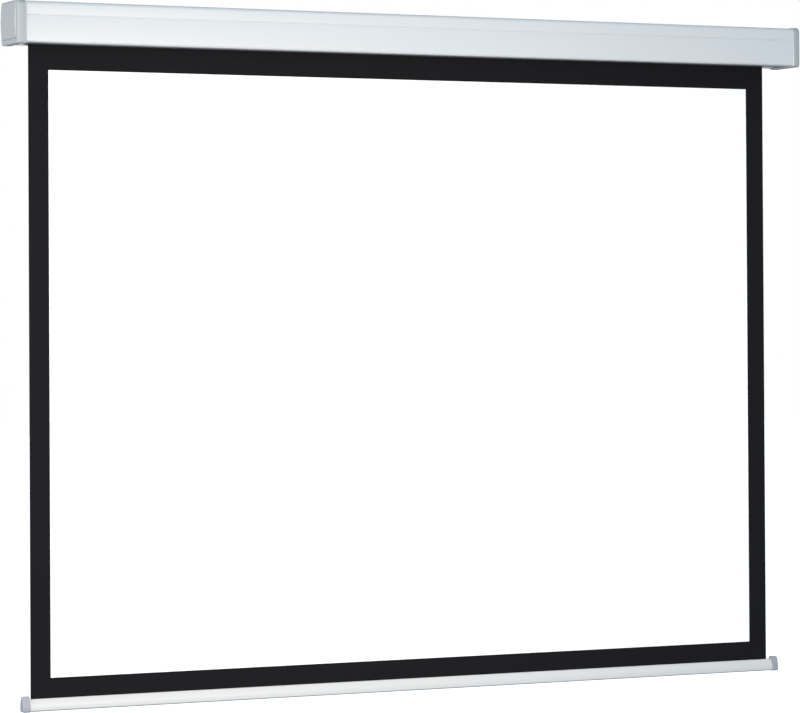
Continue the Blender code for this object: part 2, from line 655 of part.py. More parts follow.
body = finish("motor_body", turned([
    (MOTOR_LEFT, 0), (MOTOR_LEFT, MOTOR_R - 0.003), (MOTOR_LEFT + 0.003, MOTOR_R - 0.0012),
    (MOTOR_LEFT + 0.030, MOTOR_R - 0.0012), (MOTOR_LEFT + 0.0312, MOTOR_R),
    (HEAD_LEFT - FIT, MOTOR_R), (HEAD_LEFT - FIT, 0),
], 36), DARK_STEEL, parent=motor, smooth=35)
boolean(body, cutter("cut_can_bore", rod(HEAD_LEFT - CAN_BORE_LENGTH, HEAD_LEFT + 0.001, CAN_BORE_R,
                                         steps=24), parent=motor))
boolean(body, cutter("cut_shaft_seat", rod(MOTOR_LEFT - 0.001, MOTOR_LEFT + SHAFT_SEAT + RUNNING,
                                           SHAFT_R + RUNNING, steps=20), parent=motor))

motor_screw = screw_mesh("motor_screw", CAP_SCREW_R, CAP_SCREW_LENGTH, PORT_HEAD_R, HEAD_HEIGHT)
for k, lift in enumerate((-MOTOR_SCREW_CIRCLE, MOTOR_SCREW_CIRCLE), 1):
    place_screw(f"motor_screw_{k}", motor_screw, 1, (PLATE_OUT + FIT, 0, lift), motor)

outer_x = HEAD_RIGHT - LIMIT_FROM_PLATE
for word, x, mat in (
    ("up", outer_x, LIMIT_WHITE), ("down", outer_x - LIMIT_SPACING, LIMIT_RED),
):
    # A slotted adjusting screw in its socket, turned about its own axis
    reach = HEAD_R + LIMIT_SCREW_PROUD - LIMIT_SCREW_LENGTH
    seat = axis_empty("limit_axis_" + word, (x, 0, 0))
    seat.parent, seat.rotation_mode = motor, "ZYX"
    seat.rotation_euler = (radians(LIMIT_TILT), pi / 2, 0)
    spindle = rod(reach, reach + LIMIT_SCREW_LENGTH, LIMIT_SCREW_R, steps=16)
    slotted = finish("limit_screw_" + word, spindle, mat, smooth=35)
    blade = prism([(-0.0004, -0.004), (0.0004, -0.004), (0.0004, 0.004), (-0.0004, 0.004)],
                  reach + LIMIT_SCREW_LENGTH - 0.0012, reach + LIMIT_SCREW_LENGTH + 0.001)
    slot = cutter("cut_limit_slot_" + word, blade)
    well = cutter("cut_limit_well_" + word,
                  rod(reach - FIT, HEAD_R + 0.002, LIMIT_SCREW_R + FIT, steps=20))
    for obj in (slotted, slot, well):
        obj.parent = seat
    boolean(slotted, slot)
    boolean(head, well)

# Idler: a fixed pin riveted to the left-hand plate
idler = axis_empty("idler_axis", (-PLATE_OUT, ROLLER_Y, ROLLER_Z))
pin_tip = TUBE_LEFT + PLUG_LENGTH + PLATE_OUT - 0.004
finish("idle_pin", turned([
    (-FIT - PIN_RIVET, 0), (-FIT - PIN_RIVET, PIN_RIVET_R * 0.7), (-FIT - PIN_RIVET / 2, PIN_RIVET_R),
    (-FIT, PIN_RIVET_R), (-FIT, PIN_R), (PLATE + FIT, PIN_R), (PLATE + FIT, PIN_FLANGE_R),
    (PLATE + FIT + PIN_FLANGE, PIN_FLANGE_R), (PLATE + FIT + PIN_FLANGE, PIN_R),
    (pin_tip - 0.001, PIN_R), (pin_tip, PIN_R - 0.001), (pin_tip, 0),
], 28), STEEL, parent=idler, smooth=35)

# Roller: everything that turns
roller = axis_empty("roller_axis", (0, ROLLER_Y, ROLLER_Z))
notch = KEDER_GROOVE_R + KEDER_WALL
tube = finish("roller_tube", prism(tube_outside(), TUBE_LEFT, TUBE_RIGHT), TUBE_METAL, parent=roller,
              smooth=30)
boolean(tube, cutter("cut_tube_bore", prism(notched(TUBE_R - TUBE_WALL, notch), TUBE_LEFT - 0.001,
                                            TUBE_RIGHT + 0.001), parent=roller))

insert_r, insert_notch = TUBE_R - TUBE_WALL - FIT, notch + FIT


def tube_insert(name, x0, x1, mat, bore_r, flange_x=None):
    """A moulding that fits inside the tube, keyed by the groove, with a flange over the tube's end."""
    obj = finish(name, prism(notched(insert_r, insert_notch), x0, x1), mat, parent=roller, smooth=30)
    low, high = min(x0, x1), max(x0, x1)
    if flange_x is not None:
        end = (x0, flange_x)
        low, high = min(low, flange_x), max(high, flange_x)
        rim = cutter("join_" + name, rod(*sorted(end), TUBE_R, steps=40), parent=roller)
        boolean(obj, rim, "UNION")
    boolean(obj, cutter("cut_" + name, rod(low - 0.001, high + 0.001, bore_r, steps=32), parent=roller))
    return obj


tube_insert("motor_crown", TUBE_RIGHT + FIT, TUBE_RIGHT - CROWN_LENGTH, CROWN_BLACK,
            MOTOR_R + RUNNING, TUBE_RIGHT + FLANGE)
tube_insert("idle_plug", TUBE_LEFT - FIT, TUBE_LEFT + PLUG_LENGTH, CROWN_BLACK,
            PIN_R + RUNNING + BUSH_WALL + FIT, TUBE_LEFT - FLANGE)
wheel_right = MOTOR_LEFT - WHEEL_FROM_MOTOR
wheel = tube_insert("drive_wheel", wheel_right - WHEEL_LENGTH, wheel_right, CROWN_BLACK, SHAFT_R + FIT)
windows = bmesh.new()
for k in range(5):
    a = radians(72 * k)
    mid = (SHAFT_R + insert_r) / 2
    rod(wheel_right - WHEEL_LENGTH - 0.001, wheel_right + 0.001, (insert_r - SHAFT_R) * 0.30,
        (mid * cos(a), mid * sin(a)), 18, windows)
boolean(wheel, cutter("cut_wheel_windows", windows, parent=roller))

bush_out = PIN_R + RUNNING + BUSH_WALL
finish("idle_bush", turned([
    (TUBE_LEFT - FLANGE, PIN_R + RUNNING), (TUBE_LEFT - FLANGE, bush_out),
    (TUBE_LEFT + PLUG_LENGTH, bush_out), (TUBE_LEFT + PLUG_LENGTH, PIN_R + RUNNING),
], 28), NYLON, parent=roller, smooth=35)
finish("motor_shaft", rod(MOTOR_LEFT + SHAFT_SEAT - SHAFT_LENGTH, MOTOR_LEFT + SHAFT_SEAT, SHAFT_R, steps=20),
       STEEL, parent=roller, smooth=35)
cloth_left, cloth_right = FABRIC_SHIFT - FABRIC_WIDTH / 2, FABRIC_SHIFT + FABRIC_WIDTH / 2
finish("fabric_wrap", prism(spiral(WRAP_TURNS, 66), cloth_left, cloth_right), SCREEN_BLACK,
       parent=roller, smooth=30)
finish("fabric_keder", rod(cloth_left, cloth_right, KEDER_R, (keder_y(), 0), 12), NYLON,
       parent=roller, smooth=35)

# Screen fabric: one flat sheet, white over the image and black round it and behind
hem_top = HEM_Z + HEM_ROD_R + FIT
sheet = bmesh.new()
bmesh.ops.create_cube(sheet, size=1)
bmesh.ops.scale(sheet, verts=sheet.verts, vec=(FABRIC_WIDTH, FABRIC_T, ROLLER_Z - FIT - hem_top))
image_top = BOTTOM_Z - DROP_ABOVE_IMAGE
middle_z = (ROLLER_Z - FIT + hem_top) / 2
cuts = [((x, 0, 0), (1, 0, 0)) for x in (BORDER - FABRIC_WIDTH / 2, FABRIC_WIDTH / 2 - BORDER)]
cuts += [((0, 0, z - middle_z), (0, 0, 1)) for z in (image_top, image_top - IMAGE_HEIGHT)]
for spot, way in cuts:
    geom = sheet.verts[:] + sheet.edges[:] + sheet.faces[:]
    bmesh.ops.bisect_plane(sheet, geom=geom, plane_co=spot, plane_no=way)
fabric = finish("screen_fabric", sheet, SCREEN_WHITE, (FABRIC_SHIFT, FABRIC_Y, middle_z))
fabric.data.materials.append(SCREEN_BLACK)
for face in fabric.data.polygons:
    x, _, z = face.center
    from_image_middle = z + middle_z - image_top + IMAGE_HEIGHT / 2
    picture = abs(x) < FABRIC_WIDTH / 2 - BORDER and abs(from_image_middle) < IMAGE_HEIGHT / 2
    face.material_index = 0 if picture and face.normal.y < -0.5 else 1

# Bottom bar: everything that the fabric lifts
carriage = axis_empty("screen_carriage", (FABRIC_SHIFT, FABRIC_Y, BAR_BOTTOM_Z))
bar = finish("bottom_bar", prism(bar_section(), BAR_LEFT, BAR_RIGHT), BAR_WHITE, parent=carriage, smooth=30)
bores = rod(BAR_LEFT - 0.001, BAR_RIGHT + 0.001, WEIGHT_R + FIT, (0, WEIGHT_FROM_BOTTOM), 24)
rod(BAR_LEFT - 0.001, BAR_RIGHT + 0.001, BAR_PORT_R + SCREW_PLAY, (0, BAR_PORT_FROM_BOTTOM), 12, bores)
boolean(bar, cutter("cut_bar_bores", bores, parent=carriage))
finish("hem_rod", rod(BAR_LEFT, BAR_RIGHT, HEM_ROD_R, (0, BAR_HEIGHT - HEM_FROM_TOP), 12), NYLON,
       parent=carriage, smooth=35)
weight_ends = BAR_LEFT + SPIGOT_LENGTH + FIT, BAR_RIGHT - SPIGOT_LENGTH - FIT
finish("weight_rod", rod(*weight_ends, WEIGHT_R, (0, WEIGHT_FROM_BOTTOM), 20), DARK_STEEL,
       parent=carriage, smooth=35)

bar_screw = screw_mesh("bar_screw", BAR_PORT_R, BAR_SCREW_LENGTH, BAR_HEAD_R, BAR_HEAD)
for word, side, metal in (("left", -1, BAR_LEFT), ("right", 1, BAR_RIGHT)):
    # Moulded end cap, standing above the bar, with a spigot in the weight's bore
    half = bar_side(BAR_CAP_PROUD, BAR_CAP_RISE)
    shape = half + [(-y, z) for y, z in reversed(half)]
    inner, outer = metal + side * FIT, metal + side * BAR_CAP_LENGTH
    cap = finish("bar_cap_" + word, rounded_end(shape, inner, outer, BAR_CAP_RADIUS, BAR_CAP_RADIUS - 0.001),
                 BAR_GREY, parent=carriage, smooth=35)
    spigot = rod(metal - side * SPIGOT_LENGTH, metal + side * 0.004, WEIGHT_R - FIT,
                 (0, WEIGHT_FROM_BOTTOM), 20)
    boolean(cap, cutter("join_spigot_" + word, spigot, parent=carriage), "UNION")
    place = (0, BAR_PORT_FROM_BOTTOM)
    way_in, way_out = metal - side * 0.001, metal + side * (BAR_CAP_LENGTH + 0.001)
    ledge = metal + side * (BAR_CAP_LENGTH - BAR_HEAD - FIT)
    sunk = turned([
        (way_in, 0), (way_in, BAR_PORT_R + SCREW_PLAY), (ledge, BAR_PORT_R + SCREW_PLAY),
        (ledge, BAR_HEAD_R + FIT), (way_out, BAR_HEAD_R + FIT), (way_out, 0),
    ], 16, place)
    boolean(cap, cutter("cut_bar_cap_" + word, sunk, parent=carriage))
    seat = metal + side * (BAR_CAP_LENGTH - BAR_HEAD)
    place_screw(f"bar_cap_screw_{word}", bar_screw, side, (seat, *place), carriage)

# Brackets: a bent steel strip behind and over the case, hooked into its channel
top = TOP_Z + FIT
foot = BOTTOM_Z - CLAMP_ROOM
hook_f, hook_r = HOOK_Y - BRACKET_T / 2, HOOK_Y + BRACKET_T / 2
inner_bend = BRACKET_BEND - BRACKET_T
strip = rounded([
    (0, foot - BRACKET_T, BRACKET_BEND), (0, top + BRACKET_T, BRACKET_BEND),
    (hook_f, top + BRACKET_T, BRACKET_BEND), (hook_f, TOP_Z - HOOK_DEPTH + FIT, 0.0008),
    (hook_r, TOP_Z - HOOK_DEPTH + FIT, 0.0008), (hook_r, top, inner_bend),
    (-BRACKET_T, top, inner_bend), (-BRACKET_T, foot, inner_bend),
    (-BRACKET_T - BRACKET_FOOT, foot, 0.0008), (-BRACKET_T - BRACKET_FOOT, foot - BRACKET_T, 0.0008),
], 3)
clamp_y = -BRACKET_T - BRACKET_FOOT / 2


def fixing_slot(centre, along, through, bm):
    """A round-ended slot cutter: long way along one axis, cut through along another."""
    straight = FIXING_SLOT_LENGTH / 2 - FIXING_SLOT_R
    outline = [(straight + y, z) for y, z in arc(0, 0, FIXING_SLOT_R, -90, 90, 8)]
    outline += [(-y, -z) for y, z in outline]
    depth = BRACKET_T * 2
    first = [bm.verts.new(Vector(centre) + along * u + along.cross(through) * v - through * depth)
             for u, v in outline]
    face = bm.faces.new(first)
    made = bmesh.ops.extrude_face_region(bm, geom=[face])
    moved = [v for v in made["geom"] if isinstance(v, bmesh.types.BMVert)]
    bmesh.ops.translate(bm, verts=moved, vec=through * depth * 2)


clamp_screw = screw_mesh("clamp_screw", CLAMP_SCREW_R, CLAMP_ROOM + BRACKET_T, CLAMP_HEAD_R, CLAMP_HEAD, 16)
for word, side in (("left", -1), ("right", 1)):
    x = side * (CAP_END - BRACKET_FROM_END)
    bracket = finish("bracket_" + word, prism(strip, -BRACKET_WIDTH / 2, BRACKET_WIDTH / 2), STEEL, (x, 0, 0),
                     smooth=30)
    slots = bmesh.new()
    for height in WALL_SLOTS:
        fixing_slot((0, -BRACKET_T / 2, height), Vector((1, 0, 0)), Vector((0, 1, 0)), slots)
    for shift in (-CEILING_SLOT_SPACING / 2, CEILING_SLOT_SPACING / 2):
        fixing_slot((shift, HOOK_Y / 2, top + BRACKET_T / 2), Vector((0, 1, 0)), Vector((0, 0, 1)), slots)
    boolean(bracket, cutter("cut_slots_" + word, slots, (x, 0, 0)))
    tapped = bmesh.new()
    bmesh.ops.create_cone(tapped, cap_ends=True, segments=16, radius1=CLAMP_SCREW_R + SCREW_PLAY,
                          radius2=CLAMP_SCREW_R + SCREW_PLAY, depth=BRACKET_T * 3)
    bmesh.ops.translate(tapped, verts=tapped.verts, vec=(0, clamp_y, foot - BRACKET_T / 2))
    boolean(bracket, cutter("cut_tapping_" + word, tapped, (x, 0, 0)))
    place_screw("clamp_screw_" + word, clamp_screw, side, (x, clamp_y, foot - BRACKET_T - FIT), axis="Z")
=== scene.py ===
from math import asin, atan2, cos, degrees, pi, radians, sin, tan

import bmesh
import bpy
from mathutils import Matrix, Vector


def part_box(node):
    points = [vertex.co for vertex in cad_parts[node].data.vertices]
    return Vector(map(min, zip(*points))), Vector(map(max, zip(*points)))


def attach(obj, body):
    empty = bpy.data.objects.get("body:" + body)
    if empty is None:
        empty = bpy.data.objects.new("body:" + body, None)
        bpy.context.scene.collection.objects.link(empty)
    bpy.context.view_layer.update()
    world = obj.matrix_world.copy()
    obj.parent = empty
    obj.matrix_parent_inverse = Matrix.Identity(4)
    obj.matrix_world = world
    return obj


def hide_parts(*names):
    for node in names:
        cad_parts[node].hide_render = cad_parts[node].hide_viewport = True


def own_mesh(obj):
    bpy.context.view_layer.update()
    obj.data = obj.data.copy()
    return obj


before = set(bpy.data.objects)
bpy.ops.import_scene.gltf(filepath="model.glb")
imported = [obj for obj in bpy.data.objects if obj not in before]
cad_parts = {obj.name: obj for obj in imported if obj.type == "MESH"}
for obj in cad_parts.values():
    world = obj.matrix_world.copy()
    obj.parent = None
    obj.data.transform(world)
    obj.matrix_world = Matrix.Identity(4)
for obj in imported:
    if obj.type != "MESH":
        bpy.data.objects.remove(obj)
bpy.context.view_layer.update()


# Camera: it stands to the left of the screen, a little above half its height, and looks
# slightly upwards through a long lens. Lengths on the picture are in pixels.
CAMERA_PLACE = Vector((-3.6129, -7.6102, -0.6985))
YAW, PITCH, ROLL = radians(25.158), radians(0.7156), radians(-0.3092)
SENSOR_WIDTH, PICTURE_WIDTH, FOCAL_LENGTH, SHIFT_X, SHIFT_Y = 36, 800, 3407.1, 3.5, -78.4


def in_scene(name, data):
    obj = bpy.data.objects.new(name, data)
    bpy.context.scene.collection.objects.link(obj)
    return obj


ahead = Vector((sin(YAW) * cos(PITCH), cos(YAW) * cos(PITCH), sin(PITCH)))
level = Vector((cos(YAW), -sin(YAW), 0))
rightwards = level * cos(ROLL) + level.cross(ahead) * sin(ROLL)
camera_axes = Matrix((rightwards, rightwards.cross(ahead), -ahead)).transposed().to_4x4()
camera = in_scene("camera", bpy.data.cameras.new("camera"))
camera.matrix_world = Matrix.Translation(CAMERA_PLACE) @ camera_axes
camera.data.sensor_width = SENSOR_WIDTH
camera.data.lens = FOCAL_LENGTH * SENSOR_WIDTH / PICTURE_WIDTH
camera.data.shift_x = SHIFT_X / PICTURE_WIDTH
camera.data.shift_y = SHIFT_Y / PICTURE_WIDTH
camera.data.clip_end = 300
bpy.context.scene.camera = camera
bpy.context.scene.view_settings.view_transform = "Standard"


# Studio: a cool, dim surround that the camera sees as white, a warmer soft lamp near the left
# end, whose light falls off towards the right, a wide one in front and a small one at the side.
SURROUND_STRENGTH, DARKEST_BELOW, LIGHTEST_ABOVE = 0.68, -0.7, 0.1
LOW_TONE, HIGH_TONE, SEEN_TONE = (0.30, 0.38, 0.46, 1), (0.68, 0.84, 1.0, 1), (1, 1, 1, 1)
LAMPS = {  # place, aim, size, power and colour
    "near_left": ((-0.5, -2.6, -0.75), (-0.5, 0, -0.8), 1.4, 63, (1.0, 0.87, 0.76)),
    "wide_front": ((0.0, -7.5, -0.6), (0, 0, -0.8), 4.0, 122, (0.87, 0.99, 1.0)),
    "far_left": ((-5.0, -0.35, -0.5), (-1, 0, -0.4), 1.2, 150, (1.0, 0.94, 0.87)),
}


class Wire:
    """One output of a node. Sums and products of wires add the nodes that work them out."""

    def __init__(self, owner, socket):
        self.owner, self.socket = owner, socket

    def worked(self, operation, one, two):
        return self.owner.node("ShaderNodeMath", {"operation": operation}, {0: one, 1: two})

    def __add__(self, other):
        return self.worked("ADD", self, other)

    def __sub__(self, other):
        return self.worked("SUBTRACT", self, other)

    def __rsub__(self, other):
        return self.worked("SUBTRACT", other, self)

    def __mul__(self, other):
        return self.worked("MULTIPLY", self, other)

    __radd__, __rmul__ = __add__, __mul__


class Nodes:
    """A tree of nodes, each added with its settings and with what its sockets take."""

    def __init__(self, tree):
        self.tree = tree

    def join(self, value, socket):
        if isinstance(value, Wire):
            self.tree.links.new(value.socket, socket)
        else:
            socket.default_value = value

    def node(self, kind, settings=None, sockets=None, out=0):
        made = self.tree.nodes.new(kind)
        for key, value in (settings or {}).items():
            setattr(made, key, value)
        for key, values in (sockets or {}).items():
            for value in values if isinstance(values, list) else [values]:
                self.join(value, made.inputs[key])
        return Wire(self, made.outputs[out])

    def between(self, value, low, high):
        """0 below low, 1 above high, and a smooth step in between."""
        return self.node("ShaderNodeMapRange", {"interpolation_type": "SMOOTHSTEP"},
                         {"Value": value, "From Min": low, "From Max": high})

    def mixed(self, share, one, two):
        """Two colours mixed, with this share of the second."""
        return self.node("ShaderNodeMix", {"data_type": "RGBA"}, {0: share, 6: one, 7: two}, out=2)


world = bpy.data.worlds.new("studio")
world.use_nodes = True
world.node_tree.nodes.remove(world.node_tree.nodes["Background"])
bpy.context.scene.world = world
studio = Nodes(world.node_tree)
direction = studio.node("ShaderNodeTexCoord", out="Generated")
rise = studio.node("ShaderNodeSeparateXYZ", {}, {0: direction}, out="Z")
tone = studio.mixed(studio.between(rise, DARKEST_BELOW, LIGHTEST_ABOVE), LOW_TONE, HIGH_TONE)
surround = studio.node("ShaderNodeBackground", {}, {"Color": tone, "Strength": SURROUND_STRENGTH})
seen = studio.node("ShaderNodeBackground", {}, {"Color": SEEN_TONE})
by_camera = studio.node("ShaderNodeLightPath", out="Is Camera Ray")
shown = studio.node("ShaderNodeMixShader", {}, {0: by_camera, 1: surround, 2: seen})
studio.join(shown, world.node_tree.nodes["World Output"].inputs["Surface"])

for name, (place, aim, size, power, tint) in LAMPS.items():
    lamp = in_scene("lamp_" + name, bpy.data.lights.new("lamp_" + name, "AREA"))
    lamp.data.size = size
    lamp.data.energy = power
    lamp.data.color = tint
    lamp.visible_camera = False
    lamp.location = place
    lamp.rotation_euler = (Vector(aim) - Vector(place)).to_track_quat("-Z", "Y").to_euler()


# Floor: a wide pale floor, well below the screen. It glows a little, so that it looks as
# white as the surround, and throws no light back up.
FLOOR_Z, FLOOR_REACH = -2.35, 40


class Finish(Nodes):
    """A material. Values that are the same all over are set when it is made."""

    def __init__(self, name, **fixed):
        self.material = bpy.data.materials.new(name)
        self.material.use_nodes = True
        super().__init__(self.material.node_tree)
        self.shader = self.tree.nodes["Principled BSDF"]
        self.put(**fixed)
        self.place = self.node("ShaderNodeTexCoord", out="Object")

    def put(self, **values):
        for socket, value in values.items():
            self.join(value, self.shader.inputs[socket.replace("_", " ")])
        return self

    def coloured(self, share, light, dark, roughness):
        """Two colours, mixed by a share that varies over the surface, and its roughness."""
        return self.put(Base_Color=self.mixed(share, light, dark), Roughness=roughness)

    def stretched(self, x, y, z):
        """Object coordinates multiplied by a number along each axis."""
        return self.node("ShaderNodeMapping", {}, {"Vector": self.place, "Scale": (x, y, z)})

    def noise(self, scale, detail=2.0, roughness=0.5, place=None):
        return self.node("ShaderNodeTexNoise", {}, {
            "Vector": place or self.place, "Scale": scale, "Detail": detail, "Roughness": roughness,
        })

    def along(self, axis):
        """How far a point lies along one axis, in metres."""
        return self.node("ShaderNodeSeparateXYZ", {}, {0: self.place}, out=axis)

    def facing(self, axis):
        """How far the surface faces along one axis, from -1 to 1."""
        normal = self.node("ShaderNodeNewGeometry", out="Normal")
        return self.node("ShaderNodeSeparateXYZ", {}, {0: normal}, out=axis)

    def bumped(self, height, distance, strength):
        """The finish with a relief whose full height is this distance."""
        sockets = {"Height": height, "Distance": distance, "Strength": strength}
        return self.put(Normal=self.node("ShaderNodeBump", {}, sockets))


def shade(*parts):
    """A colour from its red, green and blue values of 0 to 255."""
    values = [part / 255 for part in parts]
    return (*(v / 12.92 if v <= 0.04045 else ((v + 0.055) / 1.055) ** 2.4 for v in values), 1)


floor_finish = Finish("pale floor", Roughness=0.7, Emission_Color=(1, 1, 1, 1), Emission_Strength=0.7)
patches = floor_finish.noise(0.8, 3)
floor_finish.put(Base_Color=floor_finish.mixed(patches, shade(250, 250, 250), shade(246, 247, 248)))
floor_corners = [(x * FLOOR_REACH, y * FLOOR_REACH, FLOOR_Z) for x, y in ((-1, -1), (1, -1), (1, 1), (-1, 1))]
floor_mesh = bpy.data.meshes.new("floor")
floor_mesh.from_pydata(floor_corners, [], [(0, 1, 2, 3)])
floor_mesh.materials.append(floor_finish.material)
floor = in_scene("floor", floor_mesh)
floor.visible_diffuse = floor.visible_glossy = False


# Case: one aluminium extrusion with a satin white powder coat. The trim groove, the bracket
# channel, the slot's turned-up lips and the four screw ports all run from end to end. The
# underside behind the front edge has painted shade: its coat is painted dark grey there.
case_low, case_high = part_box("case_profile")
FRONT_Y, BACK_Y, TOP_Z, BOTTOM_Z = case_low.y, case_high.y, case_high.z, case_low.z
FABRIC_Y = -0.030
CASE_WALL = 0.0018
TOP_FRONT_RADIUS, BOTTOM_FRONT_RADIUS, BACK_RADIUS = 0.010, 0.005, 0.003
TRIM_Z, TRIM_WIDTH, TRIM_DEPTH, TRIM_RADIUS = TOP_Z - 0.0318, 0.0034, 0.0010, 0.0003
SLOT_FRONT_Y, SLOT_REAR_Y, SLOT_LIP = FABRIC_Y - 0.020, FABRIC_Y + 0.015, 0.008
SLOT_RADIUS, LIP_RADIUS = 0.001, 0.0006
HOOK_Y, HOOK_WIDTH, HOOK_DEPTH, HOOK_RADIUS = BACK_Y - 0.042, 0.0050, 0.0045, 0.0004
PORT_INSET, PORT_OUTER_R, PORT_BORE_R, PORT_SLIT_ANGLE = 0.0052, 0.0036, 0.0019, 24
port_front, port_back = FRONT_Y + PORT_INSET, BACK_Y - PORT_INSET
port_low, port_high = BOTTOM_Z + PORT_INSET, TOP_Z - PORT_INSET
PORTS = [(port_back, port_low), (port_back, port_high), (port_front, port_high), (port_front, port_low)]
SMALL_RADIUS, SMALL_STEPS = 0.002, 3
# Painted shade: the case's underside behind this line is painted dark grey.
PAINTED_SHADE_FROM_Y, PAINTED_SHADE_FADE, PAINTED_SHADE_SKIN = FRONT_Y + 0.030, 0.012, 0.0003
UNDERSIDE_PAINTED_SHADE = shade(92, 97, 107), shade(84, 89, 99)
# Painted shade: the tone that the bar is painted towards where it faces down.
PAINTED_SHADE_UNDER_TONE, DUST = shade(96, 102, 108), shade(176, 174, 168)


def arc(y, z, r, start, end, steps):
    """Points on a circle round (y, z) from one angle to another, in degrees."""
    angles = [radians(start + (end - start) * k / steps) for k in range(steps + 1)]
    return [(y + r * cos(a), z + r * sin(a)) for a in angles]


def rounded(corners, steps=9):
    """A closed outline through corners (y, z, radius), each one rounded by its radius."""
    points = []
    for i, (y, z, r) in enumerate(corners):
        here = Vector((y, z))
        before = (Vector(corners[i - 1][:2]) - here).normalized()
        after = (Vector(corners[(i + 1) % len(corners)][:2]) - here).normalized()
        half = before.angle(after) / 2
        centre = here + (before + after).normalized() * (r / sin(half))
        first = here + before * (r / tan(half)) - centre
        last = here + after * (r / tan(half)) - centre
        start = atan2(first.y, first.x)
        sweep = (atan2(last.y, last.x) - start + pi) % (2 * pi) - pi
        count = steps if r > SMALL_RADIUS else SMALL_STEPS
        points += arc(*centre, r, degrees(start), degrees(start + sweep), count)
    return points


def screw_port(y, z, turn):
    """An open round port in a corner of the case, with its slit towards the middle."""
    lean = degrees(asin((PORT_INSET - CASE_WALL) / PORT_OUTER_R))
    start, end, slit = 180 + lean + turn, 90 - lean + turn, 135 + turn
    before, after = slit + PORT_SLIT_ANGLE / 2, slit - PORT_SLIT_ANGLE / 2
    return (
        arc(y, z, PORT_OUTER_R, start, before, 8)
        + arc(y, z, PORT_BORE_R, before, after + 360, 20)
        + arc(y, z, PORT_OUTER_R, after, end, 8)
    )


def case_section():
    t, wall_front = CASE_WALL, FRONT_Y + CASE_WALL
    roof, floor_z, lip = TOP_Z - CASE_WALL, BOTTOM_Z + CASE_WALL, BOTTOM_Z + SLOT_LIP
    half, trim_floor, hook_floor = TRIM_WIDTH / 2, FRONT_Y + TRIM_DEPTH, TOP_Z - HOOK_DEPTH
    hook_front, hook_rear = HOOK_Y - HOOK_WIDTH / 2, HOOK_Y + HOOK_WIDTH / 2
    outside = rounded([
        (SLOT_FRONT_Y, lip, LIP_RADIUS), (SLOT_FRONT_Y, BOTTOM_Z, SLOT_RADIUS),
        (FRONT_Y, BOTTOM_Z, BOTTOM_FRONT_RADIUS),
        (FRONT_Y, TRIM_Z - half, TRIM_RADIUS), (trim_floor, TRIM_Z - half / 2, TRIM_RADIUS),
        (trim_floor, TRIM_Z + half / 2, TRIM_RADIUS), (FRONT_Y, TRIM_Z + half, TRIM_RADIUS),
        (FRONT_Y, TOP_Z, TOP_FRONT_RADIUS),
        (hook_front, TOP_Z, HOOK_RADIUS), (hook_front, hook_floor, HOOK_RADIUS),
        (hook_rear, hook_floor, HOOK_RADIUS), (hook_rear, TOP_Z, HOOK_RADIUS),
        (BACK_Y, TOP_Z, BACK_RADIUS), (BACK_Y, BOTTOM_Z, BACK_RADIUS),
        (SLOT_REAR_Y, BOTTOM_Z, SLOT_RADIUS), (SLOT_REAR_Y, lip, LIP_RADIUS),
        (SLOT_REAR_Y + t, lip, LIP_RADIUS), (SLOT_REAR_Y + t, floor_z, LIP_RADIUS),
    ])
    ports = [screw_port(y, z, 90 * k) for k, (y, z) in enumerate(PORTS)]
    under_hook = [
        (hook_rear + t, roof), (hook_rear + t, roof - HOOK_DEPTH),
        (hook_front - t, roof - HOOK_DEPTH), (hook_front - t, roof),
    ]
    behind_trim = [
        (wall_front, TRIM_Z + t + half), (wall_front + TRIM_DEPTH, TRIM_Z + t),
        (wall_front + TRIM_DEPTH, TRIM_Z - t), (wall_front, TRIM_Z - t - half),
    ]
    inside = ports[0] + ports[1] + under_hook + ports[2] + behind_trim + ports[3]
    return outside + inside + [(SLOT_FRONT_Y - t, floor_z), (SLOT_FRONT_Y - t, lip)]


class Jig(Nodes):
    """A Geometry Nodes tree with named inputs. It is run on an object, which becomes a plain mesh."""

    def __init__(self, name, **inputs):
        super().__init__(bpy.data.node_groups.new(name, "GeometryNodeTree"))
        face = self.tree.interface
        face.new_socket("Start", in_out="INPUT", socket_type="NodeSocketGeometry")
        for label, kind in inputs.items():
            face.new_socket(label, in_out="INPUT", socket_type="NodeSocket" + kind)
        face.new_socket("Made", in_out="OUTPUT", socket_type="NodeSocketGeometry")
        self.given = self.tree.nodes.new("NodeGroupInput")
        self.result = self.tree.nodes.new("NodeGroupOutput")

    def join(self, value, socket):
        """Joins a wire, a value, or one of the tree's own inputs by its name."""
        if isinstance(value, str) and value in self.given.outputs:
            value = Wire(self, self.given.outputs[value])
        super().join(value, socket)

    def ends_with(self, geometry):
        whole = self.node("GeometryNodeRealizeInstances", {}, {0: geometry})
        painted = self.node("GeometryNodeSetMaterial", {}, {"Geometry": whole, "Material": "Material"})
        self.join(painted, self.result.inputs[0])

    def run(self, name, start, **values):
        """Runs the tree on a mesh and returns the piece it makes."""
        obj = in_scene(name, start)
        modifier = obj.modifiers.new("jig", "NODES")
        modifier.node_group = self.tree
        for item in self.tree.interface.items_tree:
            if item.in_out == "INPUT" and item.name in values:
                modifier[item.identifier] = values[item.name]
        graph = bpy.context.evaluated_depsgraph_get()
        mesh = bpy.data.meshes.new_from_object(obj.evaluated_get(graph))
        obj.modifiers.clear()
        obj.data = mesh
        mesh.name = name
        return obj


# An extrusion jig: a flat section, drawn out to a length and closed at both ends
extrusion = Jig("extrusion", Length="Float", Material="Material")
along_x = extrusion.node("ShaderNodeCombineXYZ", {}, {0: "Length"})
drawn = extrusion.node("GeometryNodeExtrudeMesh", {"mode": "FACES"}, {
    "Mesh": "Start", "Offset": along_x, "Offset Scale": 1.0, "Individual": False,
})
other_end = extrusion.node("GeometryNodeFlipFaces", {}, {0: "Start"})
both_parts = extrusion.node("GeometryNodeJoinGeometry", {}, {0: [drawn, other_end]})
closed = extrusion.node("GeometryNodeMergeByDistance", {}, {"Geometry": both_parts, "Distance": 0.00001})
extrusion.ends_with(closed)


